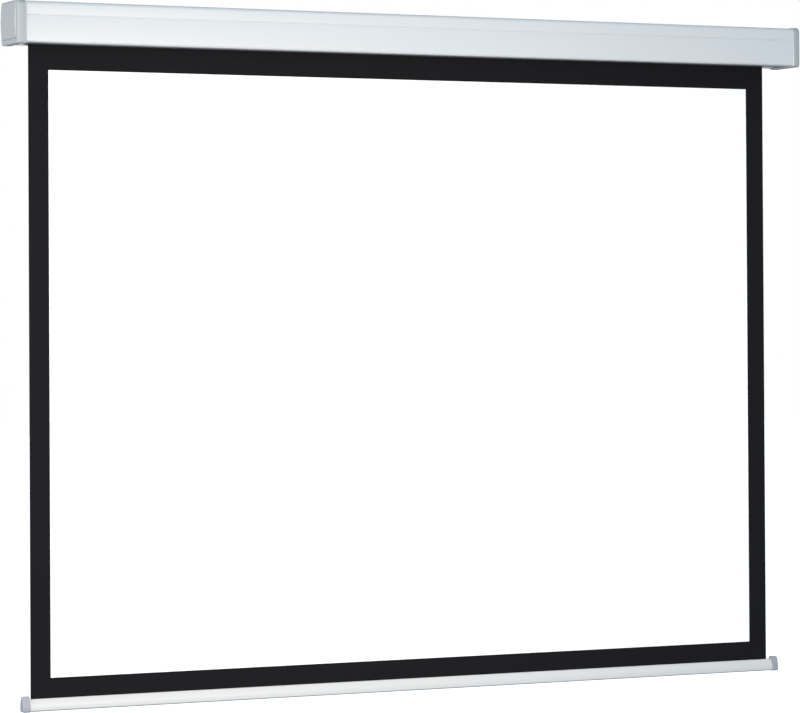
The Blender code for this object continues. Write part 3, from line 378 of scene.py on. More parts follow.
def mesh_of(name, bm):
    mesh = bpy.data.meshes.new(name)
    bm.to_mesh(mesh)
    bm.free()
    return mesh


def section_face(outline, x):
    """A flat face in the YZ plane that faces along +X."""
    bm = bmesh.new()
    face = bm.faces.new([bm.verts.new((x, y, z)) for y, z in outline])
    face.normal_update()
    if face.normal.x < 0:
        face.normal_flip()
    return mesh_of("section", bm)


def smoothed(obj, angle=32):
    """Shades a piece smooth, with edges sharper than this angle left crisp."""
    obj.data.shade_smooth()
    obj.data.set_sharp_from_angle(angle=radians(angle))
    return obj


def extruded(name, outline, x0, x1, finish, angle=32):
    piece = extrusion.run(name, section_face(outline, x0), Length=x1 - x0, Material=finish.material)
    return smoothed(piece, angle)


def powder_coat(name, light, dark, painted_shade_from=None, painted_shade_under=0.0, gloss=0.12):
    """Satin powder coat: a fine orange peel, slightly uneven gloss and a little dust on top.
    The case's underside has painted shade: it fades to dark grey behind a line. The bar's coat
    has painted shade too: it is painted a share darker where it faces down."""
    coat = Finish(name, Coat_Weight=gloss, Coat_Roughness=0.25)
    broad, fine = coat.noise(2.3, 3), coat.noise(900, 2, 0.55)
    dusty = coat.between(coat.facing("Z"), 0.75, 1.0) * coat.noise(35, 4, 0.6)
    colour = coat.mixed(broad, light, dark)
    if painted_shade_from is not None:
        # Painted shade: the underside behind the line is painted dark grey.
        behind = coat.between(coat.along("Y"), painted_shade_from - PAINTED_SHADE_FADE, painted_shade_from + PAINTED_SHADE_FADE)
        inwards = coat.between(coat.along("Z"), BOTTOM_Z + PAINTED_SHADE_SKIN, BOTTOM_Z + 2 * PAINTED_SHADE_SKIN)
        colour = coat.mixed(behind * (1.0 - inwards), colour, coat.mixed(broad, *UNDERSIDE_PAINTED_SHADE))
    if painted_shade_under:
        # Painted shade: surfaces that face down are painted darker.
        downwards = coat.between(0.0 - coat.facing("Z"), 0.2, 0.9)
        colour = coat.mixed(downwards * painted_shade_under, colour, PAINTED_SHADE_UNDER_TONE)
    coat.coloured(dusty * 0.35, colour, DUST, 0.36 + 0.08 * broad + 0.3 * dusty + 0.05 * fine)
    return coat.bumped(fine, 0.00004, 0.5)


# Its underside behind the line is painted dark grey, as painted shade.
case_coat = powder_coat("case_white", shade(199, 202, 205), shade(194, 198, 201), PAINTED_SHADE_FROM_Y)
case = extruded("case_extrusion", case_section(), case_low.x, case_high.x, case_coat)
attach(case, "case")
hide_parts("case_profile")


# End caps: moulded grey trays over each end of the case, with a large radius at the front
# edge, a smooth, glossy lip towards the case that is also lighter by a painted highlight, and a
# recess outside for the cover. The rest of their surface is finely textured. Pieces that fit
# into each other leave a gap of FIT.
FIT = 0.0003
ENDS = (("left", -1), ("right", 1))
CAP_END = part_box("end_cap_right")[1].x
CAP_BAND, CAP_PROUD, CAP_DROP = 0.0224, 0.0018, 0.0030
CAP_MOUTH = CAP_END - CAP_BAND
CAP_LEAD, CAP_LEAD_DEPTH = 0.0024, 0.0012
LEAD_SHAPE = ((0, 1), (0.85, 0.15), (1, 0.04), (1.2, 0))  # shares of the lead's length and depth
CAP_FRONT_RADIUS, CAP_EDGE_RADIUS, CAP_WALL, CAP_CHAMFER = 0.010, 0.0025, 0.0030, 0.0015
COVER_RECESS, COVER_STRIP, COVER_EDGE = 0.0025, 0.0120, 0.0028
COVER_FRONT_EDGE, COVER_CORNER = 0.0015, 0.005
RECESS_BREAK, RECESS_FILLET = 0.0004, 0.0005
CAP_FLOOR = CAP_END - COVER_RECESS
CAP_WALL_IN = CAP_FLOOR - CAP_WALL
GLAND = (BACK_Y - 0.0215, BOTTOM_Z + 0.026)
GLAND_R = 0.0060
TOUCHING, OVERRUN = 1e-6, 0.01


def cap_outline(grow, drop=None):
    """The case's outline grown by one amount, and by another at its underside."""
    low = BOTTOM_Z - (grow if drop is None else drop)
    front, back, high = FRONT_Y - grow, BACK_Y + min(grow, -BACK_Y / 2), TOP_Z + grow
    return rounded([
        (front, low, BOTTOM_FRONT_RADIUS + grow), (front, high, TOP_FRONT_RADIUS + grow),
        (back, high, BACK_RADIUS + grow), (back, low, BACK_RADIUS + grow),
    ])


def cover_outline(grow=0.0):
    front = FRONT_Y - CAP_PROUD + CAP_FRONT_RADIUS + COVER_FRONT_EDGE - grow
    back = max(y for y, _ in cap_outline(CAP_PROUD)) - COVER_EDGE + grow
    low, high = BOTTOM_Z - CAP_DROP + COVER_STRIP - grow, TOP_Z + CAP_PROUD - COVER_EDGE + grow
    r = COVER_CORNER + grow
    return rounded([(front, low, r), (front, high, r), (back, high, r), (back, low, r)])


def inset(outline, front, edge):
    """An outline drawn in, by one amount at the front and another round the rest."""
    ys, zs = [y for y, _ in outline], [z for _, z in outline]
    y0, y1, z0, z1 = min(ys), max(ys), min(zs), max(zs)
    return [
        (y0 + front + (y - y0) * (y1 - edge - y0 - front) / (y1 - y0),
         z0 + edge + (z - z0) * (z1 - z0 - 2 * edge) / (z1 - z0))
        for y, z in outline
    ]


def at(x, outline):
    return [(x, y, z) for y, z in outline]


def quarter(steps):
    """The angles of a quarter turn in equal steps, both ends included."""
    return [radians(90 * k / steps) for k in range(steps + 1)]


def rounding(depth, r):
    """How far a surface falls away at this depth from an edge rounded by r."""
    return r - (r * r - max(0.0, r - depth) ** 2) ** 0.5


def piece_of(name, bm, finish, angle=32):
    """The piece that a skin makes, facing outwards, smooth and in its finish."""
    bmesh.ops.recalc_face_normals(bm, faces=bm.faces)
    mesh = mesh_of(name, bm)
    mesh.materials.append(finish.material)
    return smoothed(in_scene(name, mesh), angle)


def lofted(name, rings, finish, angle=32):
    """A closed skin through rings of points, flat at both ends."""
    bm = bmesh.new()
    loops = [[bm.verts.new(point) for point in ring] for ring in rings]
    for one, two in zip(loops, loops[1:]):
        for k in range(len(one)):
            bm.faces.new((one[k - 1], one[k], two[k], two[k - 1]))
    bm.faces.new(loops[0])
    bm.faces.new(loops[-1])
    return piece_of(name, bm, finish, angle)


def spun_round(bm, profile, axis, centre, steps):
    """Turns a line of points right round an axis, and closes its skin."""
    bmesh.ops.spin(bm, geom=profile, axis=axis, cent=centre, angle=2 * pi, steps=steps, use_merge=True)
    bmesh.ops.remove_doubles(bm, verts=bm.verts, dist=TOUCHING)


def turned(name, profile, centre, finish, steps=48, angle=32):
    """A profile of (x, radius) turned about a line along X. It runs from axis to axis, or is
    closed on itself."""
    bm = bmesh.new()
    y, z = centre
    ring = [bm.verts.new((x, y, z + r)) for x, r in profile]
    ends = zip(ring, ring[1:] + ring[:1]) if profile[0][1] > 0 else zip(ring, ring[1:])
    spun_round(bm, ring + [bm.edges.new(pair) for pair in ends], (1, 0, 0), (0, y, z), steps)
    return piece_of(name, bm, finish, angle)


def rod(name, x0, x1, r, centre, finish, steps=48):
    return turned(name, [(x0, 0), (x0, r), (x1, r), (x1, 0)], centre, finish, steps)


def cut_by(obj, *tools, angle=32):
    """Takes the tools' volumes out of a piece and deletes the tools."""
    for tool in tools:
        modifier = obj.modifiers.new("cut", "BOOLEAN")
        modifier.object, modifier.solver = tool, "EXACT"
    graph = bpy.context.evaluated_depsgraph_get()
    mesh = bpy.data.meshes.new_from_object(obj.evaluated_get(graph))
    obj.modifiers.clear()
    bm = bmesh.new()
    bm.from_mesh(mesh)
    bmesh.ops.dissolve_degenerate(bm, edges=bm.edges, dist=TOUCHING)
    bm.to_mesh(mesh)
    bm.free()
    obj.data = mesh
    for tool in tools:
        bpy.data.objects.remove(tool, do_unlink=True)
    return smoothed(obj, angle)


def moulding(name, light, dark, grain=1100, lip=None, painted_front_highlight=False):
    """Moulded plastic with a spark-eroded texture, a little polished where hands touch it. A lip
    that starts this far from the middle is smooth and glossy, and a painted highlight makes it
    lighter. Surfaces facing the front can be painted lighter too, as a painted highlight."""
    plastic = Finish(name, Coat_Weight=0.0, Coat_Roughness=0.28)
    broad, fine = plastic.noise(7, 3), plastic.noise(grain, 3, 0.6)
    rubbed = plastic.between(plastic.noise(26, 5, 0.65), 0.58, 0.8)
    colour = plastic.mixed(broad * 0.7 + fine * 0.3, light, dark)
    rough = 0.52 + 0.12 * fine - 0.10 * rubbed
    if lip is not None:
        from_middle = plastic.node("ShaderNodeMath", {"operation": "ABSOLUTE"}, {0: plastic.along("X")})
        half = CAP_LEAD / 2
        on_lip = plastic.node("ShaderNodeMath", {"operation": "COMPARE"},
                              {0: from_middle, 1: lip + half, 2: half})
        # Painted highlight: the lip's colour is lifted towards a light grey.
        colour = plastic.mixed(on_lip * 0.18, colour, shade(226, 228, 229))
        rough = rough - 0.25 * on_lip
        plastic.put(Coat_Weight=on_lip)
    if painted_front_highlight:
        # Painted highlight: surfaces that face the front are painted lighter.
        front_highlight_share = plastic.between(0.0 - plastic.facing("Y"), 0.25, 0.6)
        colour = plastic.mixed(front_highlight_share * 0.4, colour, shade(214, 217, 218))
    plastic.put(Base_Color=colour, Roughness=rough)
    return plastic.bumped(fine, 0.00005, 0.6)


cap_plastic = moulding("cap_grey", shade(160, 165, 168), shade(154, 159, 163), lip=CAP_MOUTH)
depths = {CAP_FRONT_RADIUS * (1 - sin(turn)) for turn in quarter(12)}
depths |= {CAP_EDGE_RADIUS * (1 - sin(turn)) for turn in quarter(6)}
for word, side in ENDS:
    hollow, band = cap_outline(FIT), cap_outline(CAP_PROUD, CAP_DROP)
    rings = [
        at(side * CAP_WALL_IN, inset(hollow, CAP_CHAMFER, CAP_CHAMFER)),
        at(side * (CAP_WALL_IN - CAP_CHAMFER), hollow),
        at(side * CAP_MOUTH, hollow),
    ]
    for share_along, share_deep in LEAD_SHAPE:
        sunk = CAP_LEAD_DEPTH * share_deep
        rings.append(at(side * (CAP_MOUTH + CAP_LEAD * share_along), inset(band, sunk, sunk)))
    for depth in sorted(depths, reverse=True):
        drawn_in = inset(band, rounding(depth, CAP_FRONT_RADIUS), rounding(depth, CAP_EDGE_RADIUS))
        rings.append(at(side * (CAP_END - depth), drawn_in))
    rings += [
        at(side * CAP_END, cover_outline(FIT + RECESS_BREAK)),
        at(side * (CAP_END - RECESS_BREAK), cover_outline(FIT)),
        at(side * (CAP_FLOOR + RECESS_FILLET), cover_outline(FIT)),
        at(side * CAP_FLOOR, cover_outline(FIT - RECESS_FILLET)),
    ]
    cap = lofted("cap_" + word, rings, cap_plastic, 28)
    if side > 0:
        way = rod("way", CAP_WALL_IN - OVERRUN, CAP_END + OVERRUN, GLAND_R + FIT, GLAND, cap_plastic)
        cut_by(cap, way)
    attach(cap, "case")
    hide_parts("end_cap_" + word)


# Side covers: mouldings snapped into the caps, vaulted in height like a barrel, with rounded
# edges. Each is shorter at its lower front corner, where a thumbnail lifts it out.
COVER_RIM, COVER_VAULT, COVER_EDGE_SHARE, COVER_LIFT, COVER_ROUND = 0.0004, 0.0036, 0.6, 0.0010, 0.0007
COVER_STEPS = 32
GLAND_FLANGE_R = 0.0080
# The covers' front-facing edges are painted lighter, as a painted highlight.
cover_plastic = moulding("cover_grey", shade(164, 167, 169), shade(158, 161, 164), 900, painted_front_highlight=True)


def vaulted_cover(name, side):
    """Rings across the cover, from front to back round its corners."""
    ys, zs = [y for y, _ in cover_outline()], [z for _, z in cover_outline()]
    front, back, middle, half = min(ys), max(ys), (max(zs) + min(zs)) / 2, (max(zs) - min(zs)) / 2
    ends = []
    for turn in quarter(12):
        share = COVER_EDGE_SHARE + (1 - COVER_EDGE_SHARE) * sin(turn)
        ends.append((COVER_CORNER * (1 - cos(turn)), half - COVER_CORNER * (1 - sin(turn)), share))
    places = [(front + inward, reach, share) for inward, reach, share in ends]
    places += [(back - inward, reach, share) for inward, reach, share in reversed(ends)]
    near_edge = [COVER_ROUND * (1 - cos(turn)) for turn in quarter(4)[:-1]]
    rings = []
    for y, reach, share in places:
        low, high = middle - reach + COVER_LIFT * (back - y) / (back - front), middle + reach
        span = high - low - 2 * COVER_ROUND
        heights = [low + d for d in near_edge]
        heights += [low + COVER_ROUND + span * k / COVER_STEPS for k in range(COVER_STEPS + 1)]
        heights += [high - d for d in near_edge[::-1]]
        ring = [(side * (CAP_FLOOR + FIT), y, z) for z in (high, low)]
        for z in heights:
            edge = min(y - front, back - y, z - low, high - z)
            swell = share * (COVER_VAULT - COVER_RIM) * (1 - ((z - middle) / half) ** 2)
            ring.append((side * (CAP_END + COVER_RIM + swell - rounding(edge, COVER_ROUND)), y, z))
        rings.append(ring)
    return lofted(name, rings, cover_plastic, 34)


for word, side in ENDS:
    cover = vaulted_cover("cover_" + word, side)
    if side > 0:
        way = rod("way", CAP_END - OVERRUN, CAP_END + OVERRUN, GLAND_FLANGE_R + FIT, GLAND, cover_plastic)
        cut_by(cover, way, angle=34)
    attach(cover, "case")
    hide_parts("side_cover_" + word)


# Cable gland: a soft black rubber bush through the right-hand cap, where the cord would leave.
# It grips the cap's wall between two flanges, and the outer one is domed.
GLAND_BORE_R, GLAND_FLANGE, GLAND_EDGE, GLAND_RIM = 0.0034, 0.0018, 0.0004, 0.0005
DOME_HEIGHT, DOME_TAPER = COVER_VAULT / 2, 0.25
rubber = Finish("gland_rubber", Specular_IOR_Level=0.35)
speck = rubber.noise(700, 3)
rubber.coloured(speck, shade(26, 26, 27), shade(38, 38, 39), 0.62 + 0.2 * speck)
rubber.bumped(speck, 0.00004, 0.5)
flange_in, flange_out = CAP_WALL_IN - FIT, CAP_FLOOR + FIT
dome, tip = CAP_END + COVER_VAULT - DOME_HEIGHT, CAP_END + COVER_VAULT
gland_profile = [
    (flange_in - GLAND_FLANGE, GLAND_BORE_R), (flange_in - GLAND_FLANGE, GLAND_FLANGE_R - GLAND_EDGE),
    (flange_in - GLAND_FLANGE + GLAND_EDGE, GLAND_FLANGE_R), (flange_in, GLAND_FLANGE_R),
    (flange_in, GLAND_R), (flange_out, GLAND_R), (flange_out, GLAND_FLANGE_R), (dome, GLAND_FLANGE_R),
]
for turn in quarter(6)[1:]:
    narrowed = GLAND_FLANGE_R * (1 - DOME_TAPER * (1 - cos(turn)))
    gland_profile.append((dome + DOME_HEIGHT * sin(turn), narrowed))
gland_profile += [(tip, GLAND_BORE_R + GLAND_RIM), (tip - GLAND_RIM, GLAND_BORE_R)]
gland = turned("gland", gland_profile, GLAND, rubber)
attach(gland, "case")
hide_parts("cable_gland")


# Brackets: bent zinc-plated steel strip that hooks into the channel on top of the case and
# runs down behind it. Slots take wall screws at the back and ceiling screws on top.
BRACKET_T, BRACKET_BEND, BRACKET_FOOT, CLAMP_ROOM = 0.0030, 0.0040, 0.0118, 0.0030
BRACKET_INNER_R, BRACKET_TIP_R = 0.0010, 0.0008
SLOT_HOLE_R, SLOT_HOLE_LENGTH, CLAMP_HOLE_R = 0.0030, 0.016, 0.0023
WALL_SLOTS, CEILING_SLOTS = (0.026, -0.026), (-0.018, 0.018)
ROOF_Z, FOOT_Z = TOP_Z + FIT, BOTTOM_Z - CLAMP_ROOM
CLAMP_Y = -BRACKET_T - BRACKET_FOOT / 2


def zinc_plate(name, light, dark):
    """Zinc plating: soft grey blotches of crystals over fine rolling marks along the strip."""
    plate = Finish(name, Metallic=1.0)
    spread = {"Vector": plate.place, "Scale": 160.0}
    cells = plate.node("ShaderNodeTexVoronoi", {"feature": "SMOOTH_F1"}, spread)
    marks = plate.noise(1.0, 3, 0.5, plate.stretched(40, 2200, 2200))
    blotch = plate.noise(60, 4, 0.6)
    plate.coloured(cells * 0.5 + blotch * 0.5, light, dark, 0.28 + 0.18 * blotch + 0.08 * marks)
    return plate.bumped(marks, 0.00002, 0.4)


def slot_tool(x, centre, along_y):
    """A round-ended tool that cuts one slot: through the top when it lies along Y, else through
    the back."""
    straight = SLOT_HOLE_LENGTH / 2 - SLOT_HOLE_R
    outline = [(straight + u, v) for u, v in arc(0, 0, SLOT_HOLE_R, -90, 90, 14)]
    outline += [(-u, -v) for u, v in outline]
    y, z = centre
    base = [(x + v, y + u, z - OVERRUN) if along_y else (x + u, y - OVERRUN, z + v) for u, v in outline]
    through = (0, 0, 2 * OVERRUN) if along_y else (0, 2 * OVERRUN, 0)
    bm = bmesh.new()
    face = bm.faces.new([bm.verts.new(point) for point in base])
    made = bmesh.ops.extrude_face_region(bm, geom=[face])
    moved = [vert for vert in made["geom"] if isinstance(vert, bmesh.types.BMVert)]
    bmesh.ops.translate(bm, verts=moved, vec=through)
    return piece_of("slot_tool", bm, zinc)


zinc = zinc_plate("zinc_steel", shade(186, 188, 192), shade(158, 161, 166))
hook_front, hook_rear, hook_tip = HOOK_Y - BRACKET_T / 2, HOOK_Y + BRACKET_T / 2, TOP_Z - HOOK_DEPTH + FIT
strip = rounded([
    (0, FOOT_Z - BRACKET_T, BRACKET_BEND), (0, ROOF_Z + BRACKET_T, BRACKET_BEND),
    (hook_front, ROOF_Z + BRACKET_T, BRACKET_BEND), (hook_front, hook_tip, BRACKET_TIP_R),
    (hook_rear, hook_tip, BRACKET_TIP_R), (hook_rear, ROOF_Z, BRACKET_INNER_R),
    (-BRACKET_T, ROOF_Z, BRACKET_INNER_R), (-BRACKET_T, FOOT_Z, BRACKET_INNER_R),
    (-BRACKET_T - BRACKET_FOOT, FOOT_Z, BRACKET_TIP_R),
    (-BRACKET_T - BRACKET_FOOT, FOOT_Z - BRACKET_T, BRACKET_TIP_R),
])
for word, _ in ENDS:
    low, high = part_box("bracket_" + word)
    middle = (low.x + high.x) / 2
    bracket = extruded("mount_bracket_" + word, strip, low.x, high.x, zinc, 30)
    tools = [slot_tool(middle, (-BRACKET_T / 2, z), False) for z in WALL_SLOTS]
    for shift in CEILING_SLOTS:
        tools.append(slot_tool(middle + shift, (HOOK_Y / 2, ROOF_Z + BRACKET_T / 2), True))
    hole = bmesh.new()
    bmesh.ops.create_cone(hole, cap_ends=True, segments=24, radius1=CLAMP_HOLE_R, radius2=CLAMP_HOLE_R,
                          depth=3 * BRACKET_T)
    bmesh.ops.translate(hole, verts=hole.verts, vec=(middle, CLAMP_Y, FOOT_Z - BRACKET_T / 2))
    tools.append(piece_of("clamp_hole", hole, zinc))
    cut_by(bracket, *tools, angle=30)
    softened = bracket.modifiers.new("softened", "BEVEL")
    softened.width, softened.segments, softened.limit_method = 0.00025, 2, "ANGLE"
    softened.angle_limit, softened.harden_normals = radians(50), True
    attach(bracket, "case")
    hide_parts("bracket_" + word)


# Screws: bright zinc-plated pan heads with a cross recess, driven in at slightly different
# turns. They hold the end plates, caps, motor, bar caps and brackets.
HEAD_SIDE, POINT_LENGTH, POINT_SHARE, SCREW_STEPS = 0.35, 0.001, 0.6, 24
RECESS_LENGTH, RECESS_WIDTH, RECESS_TAPER = 1.15, 0.26, 0.45  # the first two in head radii
RECESS_MIDDLE, RECESS_DEPTH = 0.75, 0.9  # in head heights
screw_finish = zinc_plate("screw_steel", shade(208, 210, 214), shade(184, 187, 192))


def screw_blank(head_r, head_h, shank_r, length):
    """One screw with its head's seat at the origin and its head towards +Z."""
    profile = [(0, head_h)]
    for turn in quarter(6)[1:]:
        profile.append((head_r * sin(turn), head_h * (HEAD_SIDE + (1 - HEAD_SIDE) * cos(turn))))
    profile += [(head_r, 0), (shank_r, 0), (shank_r, -length + POINT_LENGTH)]
    profile += [(shank_r * POINT_SHARE, -length), (0, -length)]
    bm = bmesh.new()
    ring = [bm.verts.new((r, 0, z)) for r, z in profile]
    ring += [bm.edges.new(pair) for pair in zip(ring, ring[1:])]
    spun_round(bm, ring, (0, 0, 1), (0, 0, 0), SCREW_STEPS)
    blank = piece_of("blank", bm, screw_finish)
    blades = []
    for turn in (0, pi / 2):
        blade = bmesh.new()
        bmesh.ops.create_cube(blade, size=1)
        for corner in blade.verts:
            x, y, z = corner.co
            taper = 1.0 if z > 0 else RECESS_TAPER
            corner.co = (x * head_r * RECESS_LENGTH * taper, y * head_r * RECESS_WIDTH,
                         head_h * (RECESS_MIDDLE + z * RECESS_DEPTH))
        bmesh.ops.rotate(blade, verts=blade.verts, cent=(0, 0, 0), matrix=Matrix.Rotation(turn, 3, "Z"))
        blades.append(piece_of("blade", blade, screw_finish))
    return cut_by(blank, *blades, angle=40)


# A driving jig: the same screw at every point, headed along the point's own direction
driving = Jig("driving", Screw="Object", Turn_seed="Int", Material="Material")
heading = driving.node("GeometryNodeInputNamedAttribute", {"data_type": "FLOAT_VECTOR"}, {"Name": "heading"})
upright = driving.node("FunctionNodeAlignRotationToVector", {"axis": "Z"}, {"Vector": heading})
chance = driving.node("FunctionNodeRandomValue", {"data_type": "FLOAT"},
                      {2: 0.0, 3: pi, "Seed": "Turn_seed"}, out=1)
spun = driving.node("FunctionNodeAxisAngleToRotation", {}, {"Axis": (0, 0, 1), "Angle": chance})
set_in = driving.node("FunctionNodeRotateRotation", {"rotation_space": "LOCAL"}, {0: upright, 1: spun})
blank_shape = driving.node("GeometryNodeObjectInfo", {}, {"Object": "Screw"}, out="Geometry")
driven = driving.node("GeometryNodeInstanceOnPoints", {}, {
    "Points": "Start", "Instance": blank_shape, "Rotation": set_in,
})
driving.ends_with(driven)


def driven_screws(name, sizes, seats, seed, body, nodes):
    """Screws of one kind at seats (place, heading), as one piece on one body. Their sizes are the
    head's radius and height and the shank's radius and length."""
    blank = screw_blank(*sizes)
    points = bpy.data.meshes.new("seats")
    points.from_pydata([place for place, _ in seats], [], [])
    headings = points.attributes.new("heading", "FLOAT_VECTOR", "POINT")
    for item, (_, direction) in zip(headings.data, seats):
        item.vector = direction
    piece = driving.run(name, points, Screw=blank, Turn_seed=seed, Material=screw_finish.material)
    bpy.data.objects.remove(blank, do_unlink=True)
    smoothed(piece, 40)
    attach(piece, body)
    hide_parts(*nodes)


PLATE_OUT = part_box("end_plate_right")[1].x
ROLLER_Y, ROLLER_Z = -0.063075, 0.007
MOTOR_SCREWS_Z = (ROLLER_Z - 0.0185, ROLLER_Z + 0.0185)
CAP_SCREWS = [(FRONT_Y + 0.0235, BOTTOM_Z + 0.0490), (FRONT_Y + 0.0965, BOTTOM_Z + 0.0785)]
port_seats, cap_seats, clamp_seats = [], [], []
for word, side in ENDS:
    port_seats += [((side * (PLATE_OUT + FIT), y, z), (side, 0, 0)) for y, z in PORTS]
    cap_seats += [((side * (CAP_FLOOR + FIT), y, z), (side, 0, 0)) for y, z in CAP_SCREWS]
    low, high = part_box("clamp_screw_" + word)
    clamp_seats.append((((low.x + high.x) / 2, CLAMP_Y, FOOT_Z - BRACKET_T - FIT), (0, 0, -1)))
motor_seats = [((PLATE_OUT + FIT, ROLLER_Y, z), (1, 0, 0)) for z in MOTOR_SCREWS_Z]
driven_screws("port_screws", (0.0032, 0.0019, 0.0016, 0.012), port_seats, 3, "case",
              [f"end_plate_screw_{word}_{k}" for word, _ in ENDS for k in (1, 2, 3, 4)])
driven_screws("cap_screws", (0.0026, 0.0013, 0.0015, 0.010), cap_seats, 5, "case",
              [f"cap_screw_{word}_{k}" for word, _ in ENDS for k in (1, 2)])
driven_screws("motor_screws", (0.0032, 0.0019, 0.0015, 0.010), motor_seats, 7, "case",
              ["motor_screw_1", "motor_screw_2"])
driven_screws("clamp_screws", (0.0038, 0.0030, 0.0020, CLAMP_ROOM + BRACKET_T), clamp_seats, 9, "case",
              ["clamp_screw_left", "clamp_screw_right"])


# End plates: zinc-plated steel, punched, that close the extrusion at both ends and carry the
# motor at the right and the idler's riveted pin at the left.
def resurfaced(node, name, finish, body, angle=30):
    """A solid with its facets joined and smoothed, in its finish."""
    bm = bmesh.new()
    bm.from_mesh(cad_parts[node].data)
    bmesh.ops.remove_doubles(bm, verts=bm.verts, dist=TOUCHING)
    mesh = mesh_of(name, bm)
    for old in ("custom_normal", "sharp_edge", "sharp_face"):
        if mesh.attributes.get(old):
            mesh.attributes.remove(mesh.attributes[old])
    mesh.materials.clear()
    mesh.materials.append(finish.material)
    piece = smoothed(in_scene(name, mesh), angle)
    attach(piece, body)
    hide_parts(node)


for word, _ in ENDS:
    resurfaced("end_plate_" + word, "plate_" + word, zinc, "case")
resurfaced("idle_pin", "idler_pin", zinc, "case")


# Tubular motor: a drawn steel can with its black moulded head screwed to the right-hand
# plate. Ribs round the head stiffen it, and two adjusting screws look down at the slot.
def dark_moulding(name, light, dark):
    """Black glass-filled nylon: matt, with a faint flow pattern."""
    nylon = Finish(name)
    flow = nylon.noise(1.0, 4, 0.6, nylon.stretched(60, 200, 200))
    fine = nylon.noise(1300, 2)
    nylon.coloured(flow, light, dark, 0.42 + 0.16 * fine + 0.08 * flow)
    return nylon.bumped(fine, 0.00004, 0.5)


can_steel = Finish("dark_steel", Metallic=1.0)
drawing_marks = can_steel.noise(1.0, 3, 0.5, can_steel.stretched(12, 1500, 1500))
stains = can_steel.noise(25, 4)
can_steel.coloured(stains, shade(104, 106, 110), shade(84, 86, 90), 0.34 + 0.16 * drawing_marks)
can_steel.bumped(drawing_marks, 0.00002, 0.4)
head_plastic = dark_moulding("motor_head_black", shade(34, 34, 36), shade(24, 24, 26))
resurfaced("motor_body", "motor_can", can_steel, "case")
resurfaced("motor_shaft", "drive_shaft", zinc, "roller")
resurfaced("motor_head", "motor_end", head_plastic, "case")

# A ribbing jig: a block repeated at even steps round a ring, which then stands across X
ribbing = Jig("ribbing", Count="Int", Radius="Float", Rib_size="Vector", Middle="Vector", Material="Material")
ring = ribbing.node("GeometryNodeMeshCircle", {}, {"Vertices": "Count", "Radius": "Radius"})
outwards = ribbing.node("GeometryNodeInputPosition")
faced = ribbing.node("FunctionNodeAlignRotationToVector", {"axis": "X"}, {"Vector": outwards})
rib = ribbing.node("GeometryNodeMeshCube", {}, {"Size": "Rib_size"})
placed = ribbing.node("GeometryNodeInstanceOnPoints", {}, {
    "Points": ring, "Instance": rib, "Rotation": faced,
})
joined = ribbing.node("GeometryNodeRealizeInstances", {}, {0: placed})
stood = ribbing.node("GeometryNodeTransform", {}, {
    "Geometry": joined, "Translation": "Middle", "Rotation": (0, pi / 2, 0),
})
ribbing.ends_with(stood)

HEAD_R, RIBS_X = 0.026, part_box("motor_head")[0].x + 0.0065
RIB_COUNT, RIB_SIZE, RIB_SUNK = 36, (0.0014, 0.0012, 0.0075), 0.0002
head_ribs = smoothed(ribbing.run(
    "motor_end_ribs", bpy.data.meshes.new("start"), Count=RIB_COUNT, Radius=HEAD_R - RIB_SUNK,
    Rib_size=RIB_SIZE, Middle=(RIBS_X, ROLLER_Y, ROLLER_Z), Material=head_plastic.material,
))
softened = head_ribs.modifiers.new("softened", "BEVEL")
softened.width, softened.segments = 0.0002, 2
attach(head_ribs, "case")

for word, slot, tint in (
    ("up", "limit_screw_white", (232, 230, 222)), ("down", "limit_screw_red", (186, 40, 34)),
):
    socket_plastic = Finish("limit_screw_" + word)
    mottled = socket_plastic.noise(400, 3)
    darker = [0.93 * part for part in tint]
    socket_plastic.coloured(mottled, shade(*tint), shade(*darker), 0.38 + 0.16 * mottled)
    resurfaced("limit_screw_" + word, "adjuster_" + word, socket_plastic, "limit_" + word)


# Roller: an aluminium tube as drawn, with its moulded crown, drive wheel and idler plug, and
# the nylon bush that runs on the pin.
tube_metal = Finish("tube_aluminium", Metallic=1.0, Anisotropic=0.4)
streaks, hazy = tube_metal.noise(1.0, 3, 0.5, tube_metal.stretched(3, 900, 900)), tube_metal.noise(9, 3)
tube_metal.coloured(hazy * 0.5 + streaks * 0.5, shade(192, 194, 196), shade(168, 170, 173),
                    0.30 + 0.18 * streaks + 0.06 * hazy)
tube_metal.bumped(streaks, 0.00002, 0.5)
crown_nylon = dark_moulding("crown_black", shade(46, 46, 49), shade(34, 34, 37))
bush_nylon = Finish("bush_nylon", Subsurface_Weight=0.05)
cloud = bush_nylon.noise(180, 3)
bush_nylon.coloured(cloud, shade(226, 224, 214), shade(212, 209, 198), 0.4 + 0.15 * cloud)
for node, name, finish, slot in (
    ("roller_tube", "tube", tube_metal, "tube_aluminium"),
    ("motor_crown", "tube_crown", crown_nylon, "crown_black"),
    ("drive_wheel", "tube_wheel", crown_nylon, "crown_black"),
    ("idle_plug", "tube_plug", crown_nylon, "crown_black"),
    ("idle_bush", "tube_bush", bush_nylon, "bush_nylon"),
    ("fabric_keder", "keder_rod", bush_nylon, "bush_nylon"),
):
    resurfaced(node, name, finish, "roller")


# Fabric: matt white coated glass-fibre cloth, black behind and printed black round the image.
# It hangs flat and is held by the bar's weight. What is left of it lies wound on the tube.
SHEET_T, SHEET_STEPS = 0.00045, 24
sheet_low, sheet_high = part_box("screen_fabric")
LEFT_X, RIGHT_X = sheet_low.x, sheet_high.x
BORDER, IMAGE_TOP, IMAGE_HEIGHT = 0.050, BOTTOM_Z - 0.0576, 1.425
IMAGE_BOTTOM = IMAGE_TOP - IMAGE_HEIGHT
IMAGE, ROUND_IMAGE, BEHIND = 0, 1, 2
FULL_WAVE = 6.28  # a whole turn of the wave that draws the threads
WRAP_TURNS, WRAP_PITCH, WRAP_R, WRAP_STEPS = 1.5, 0.00056, 0.0325, 180


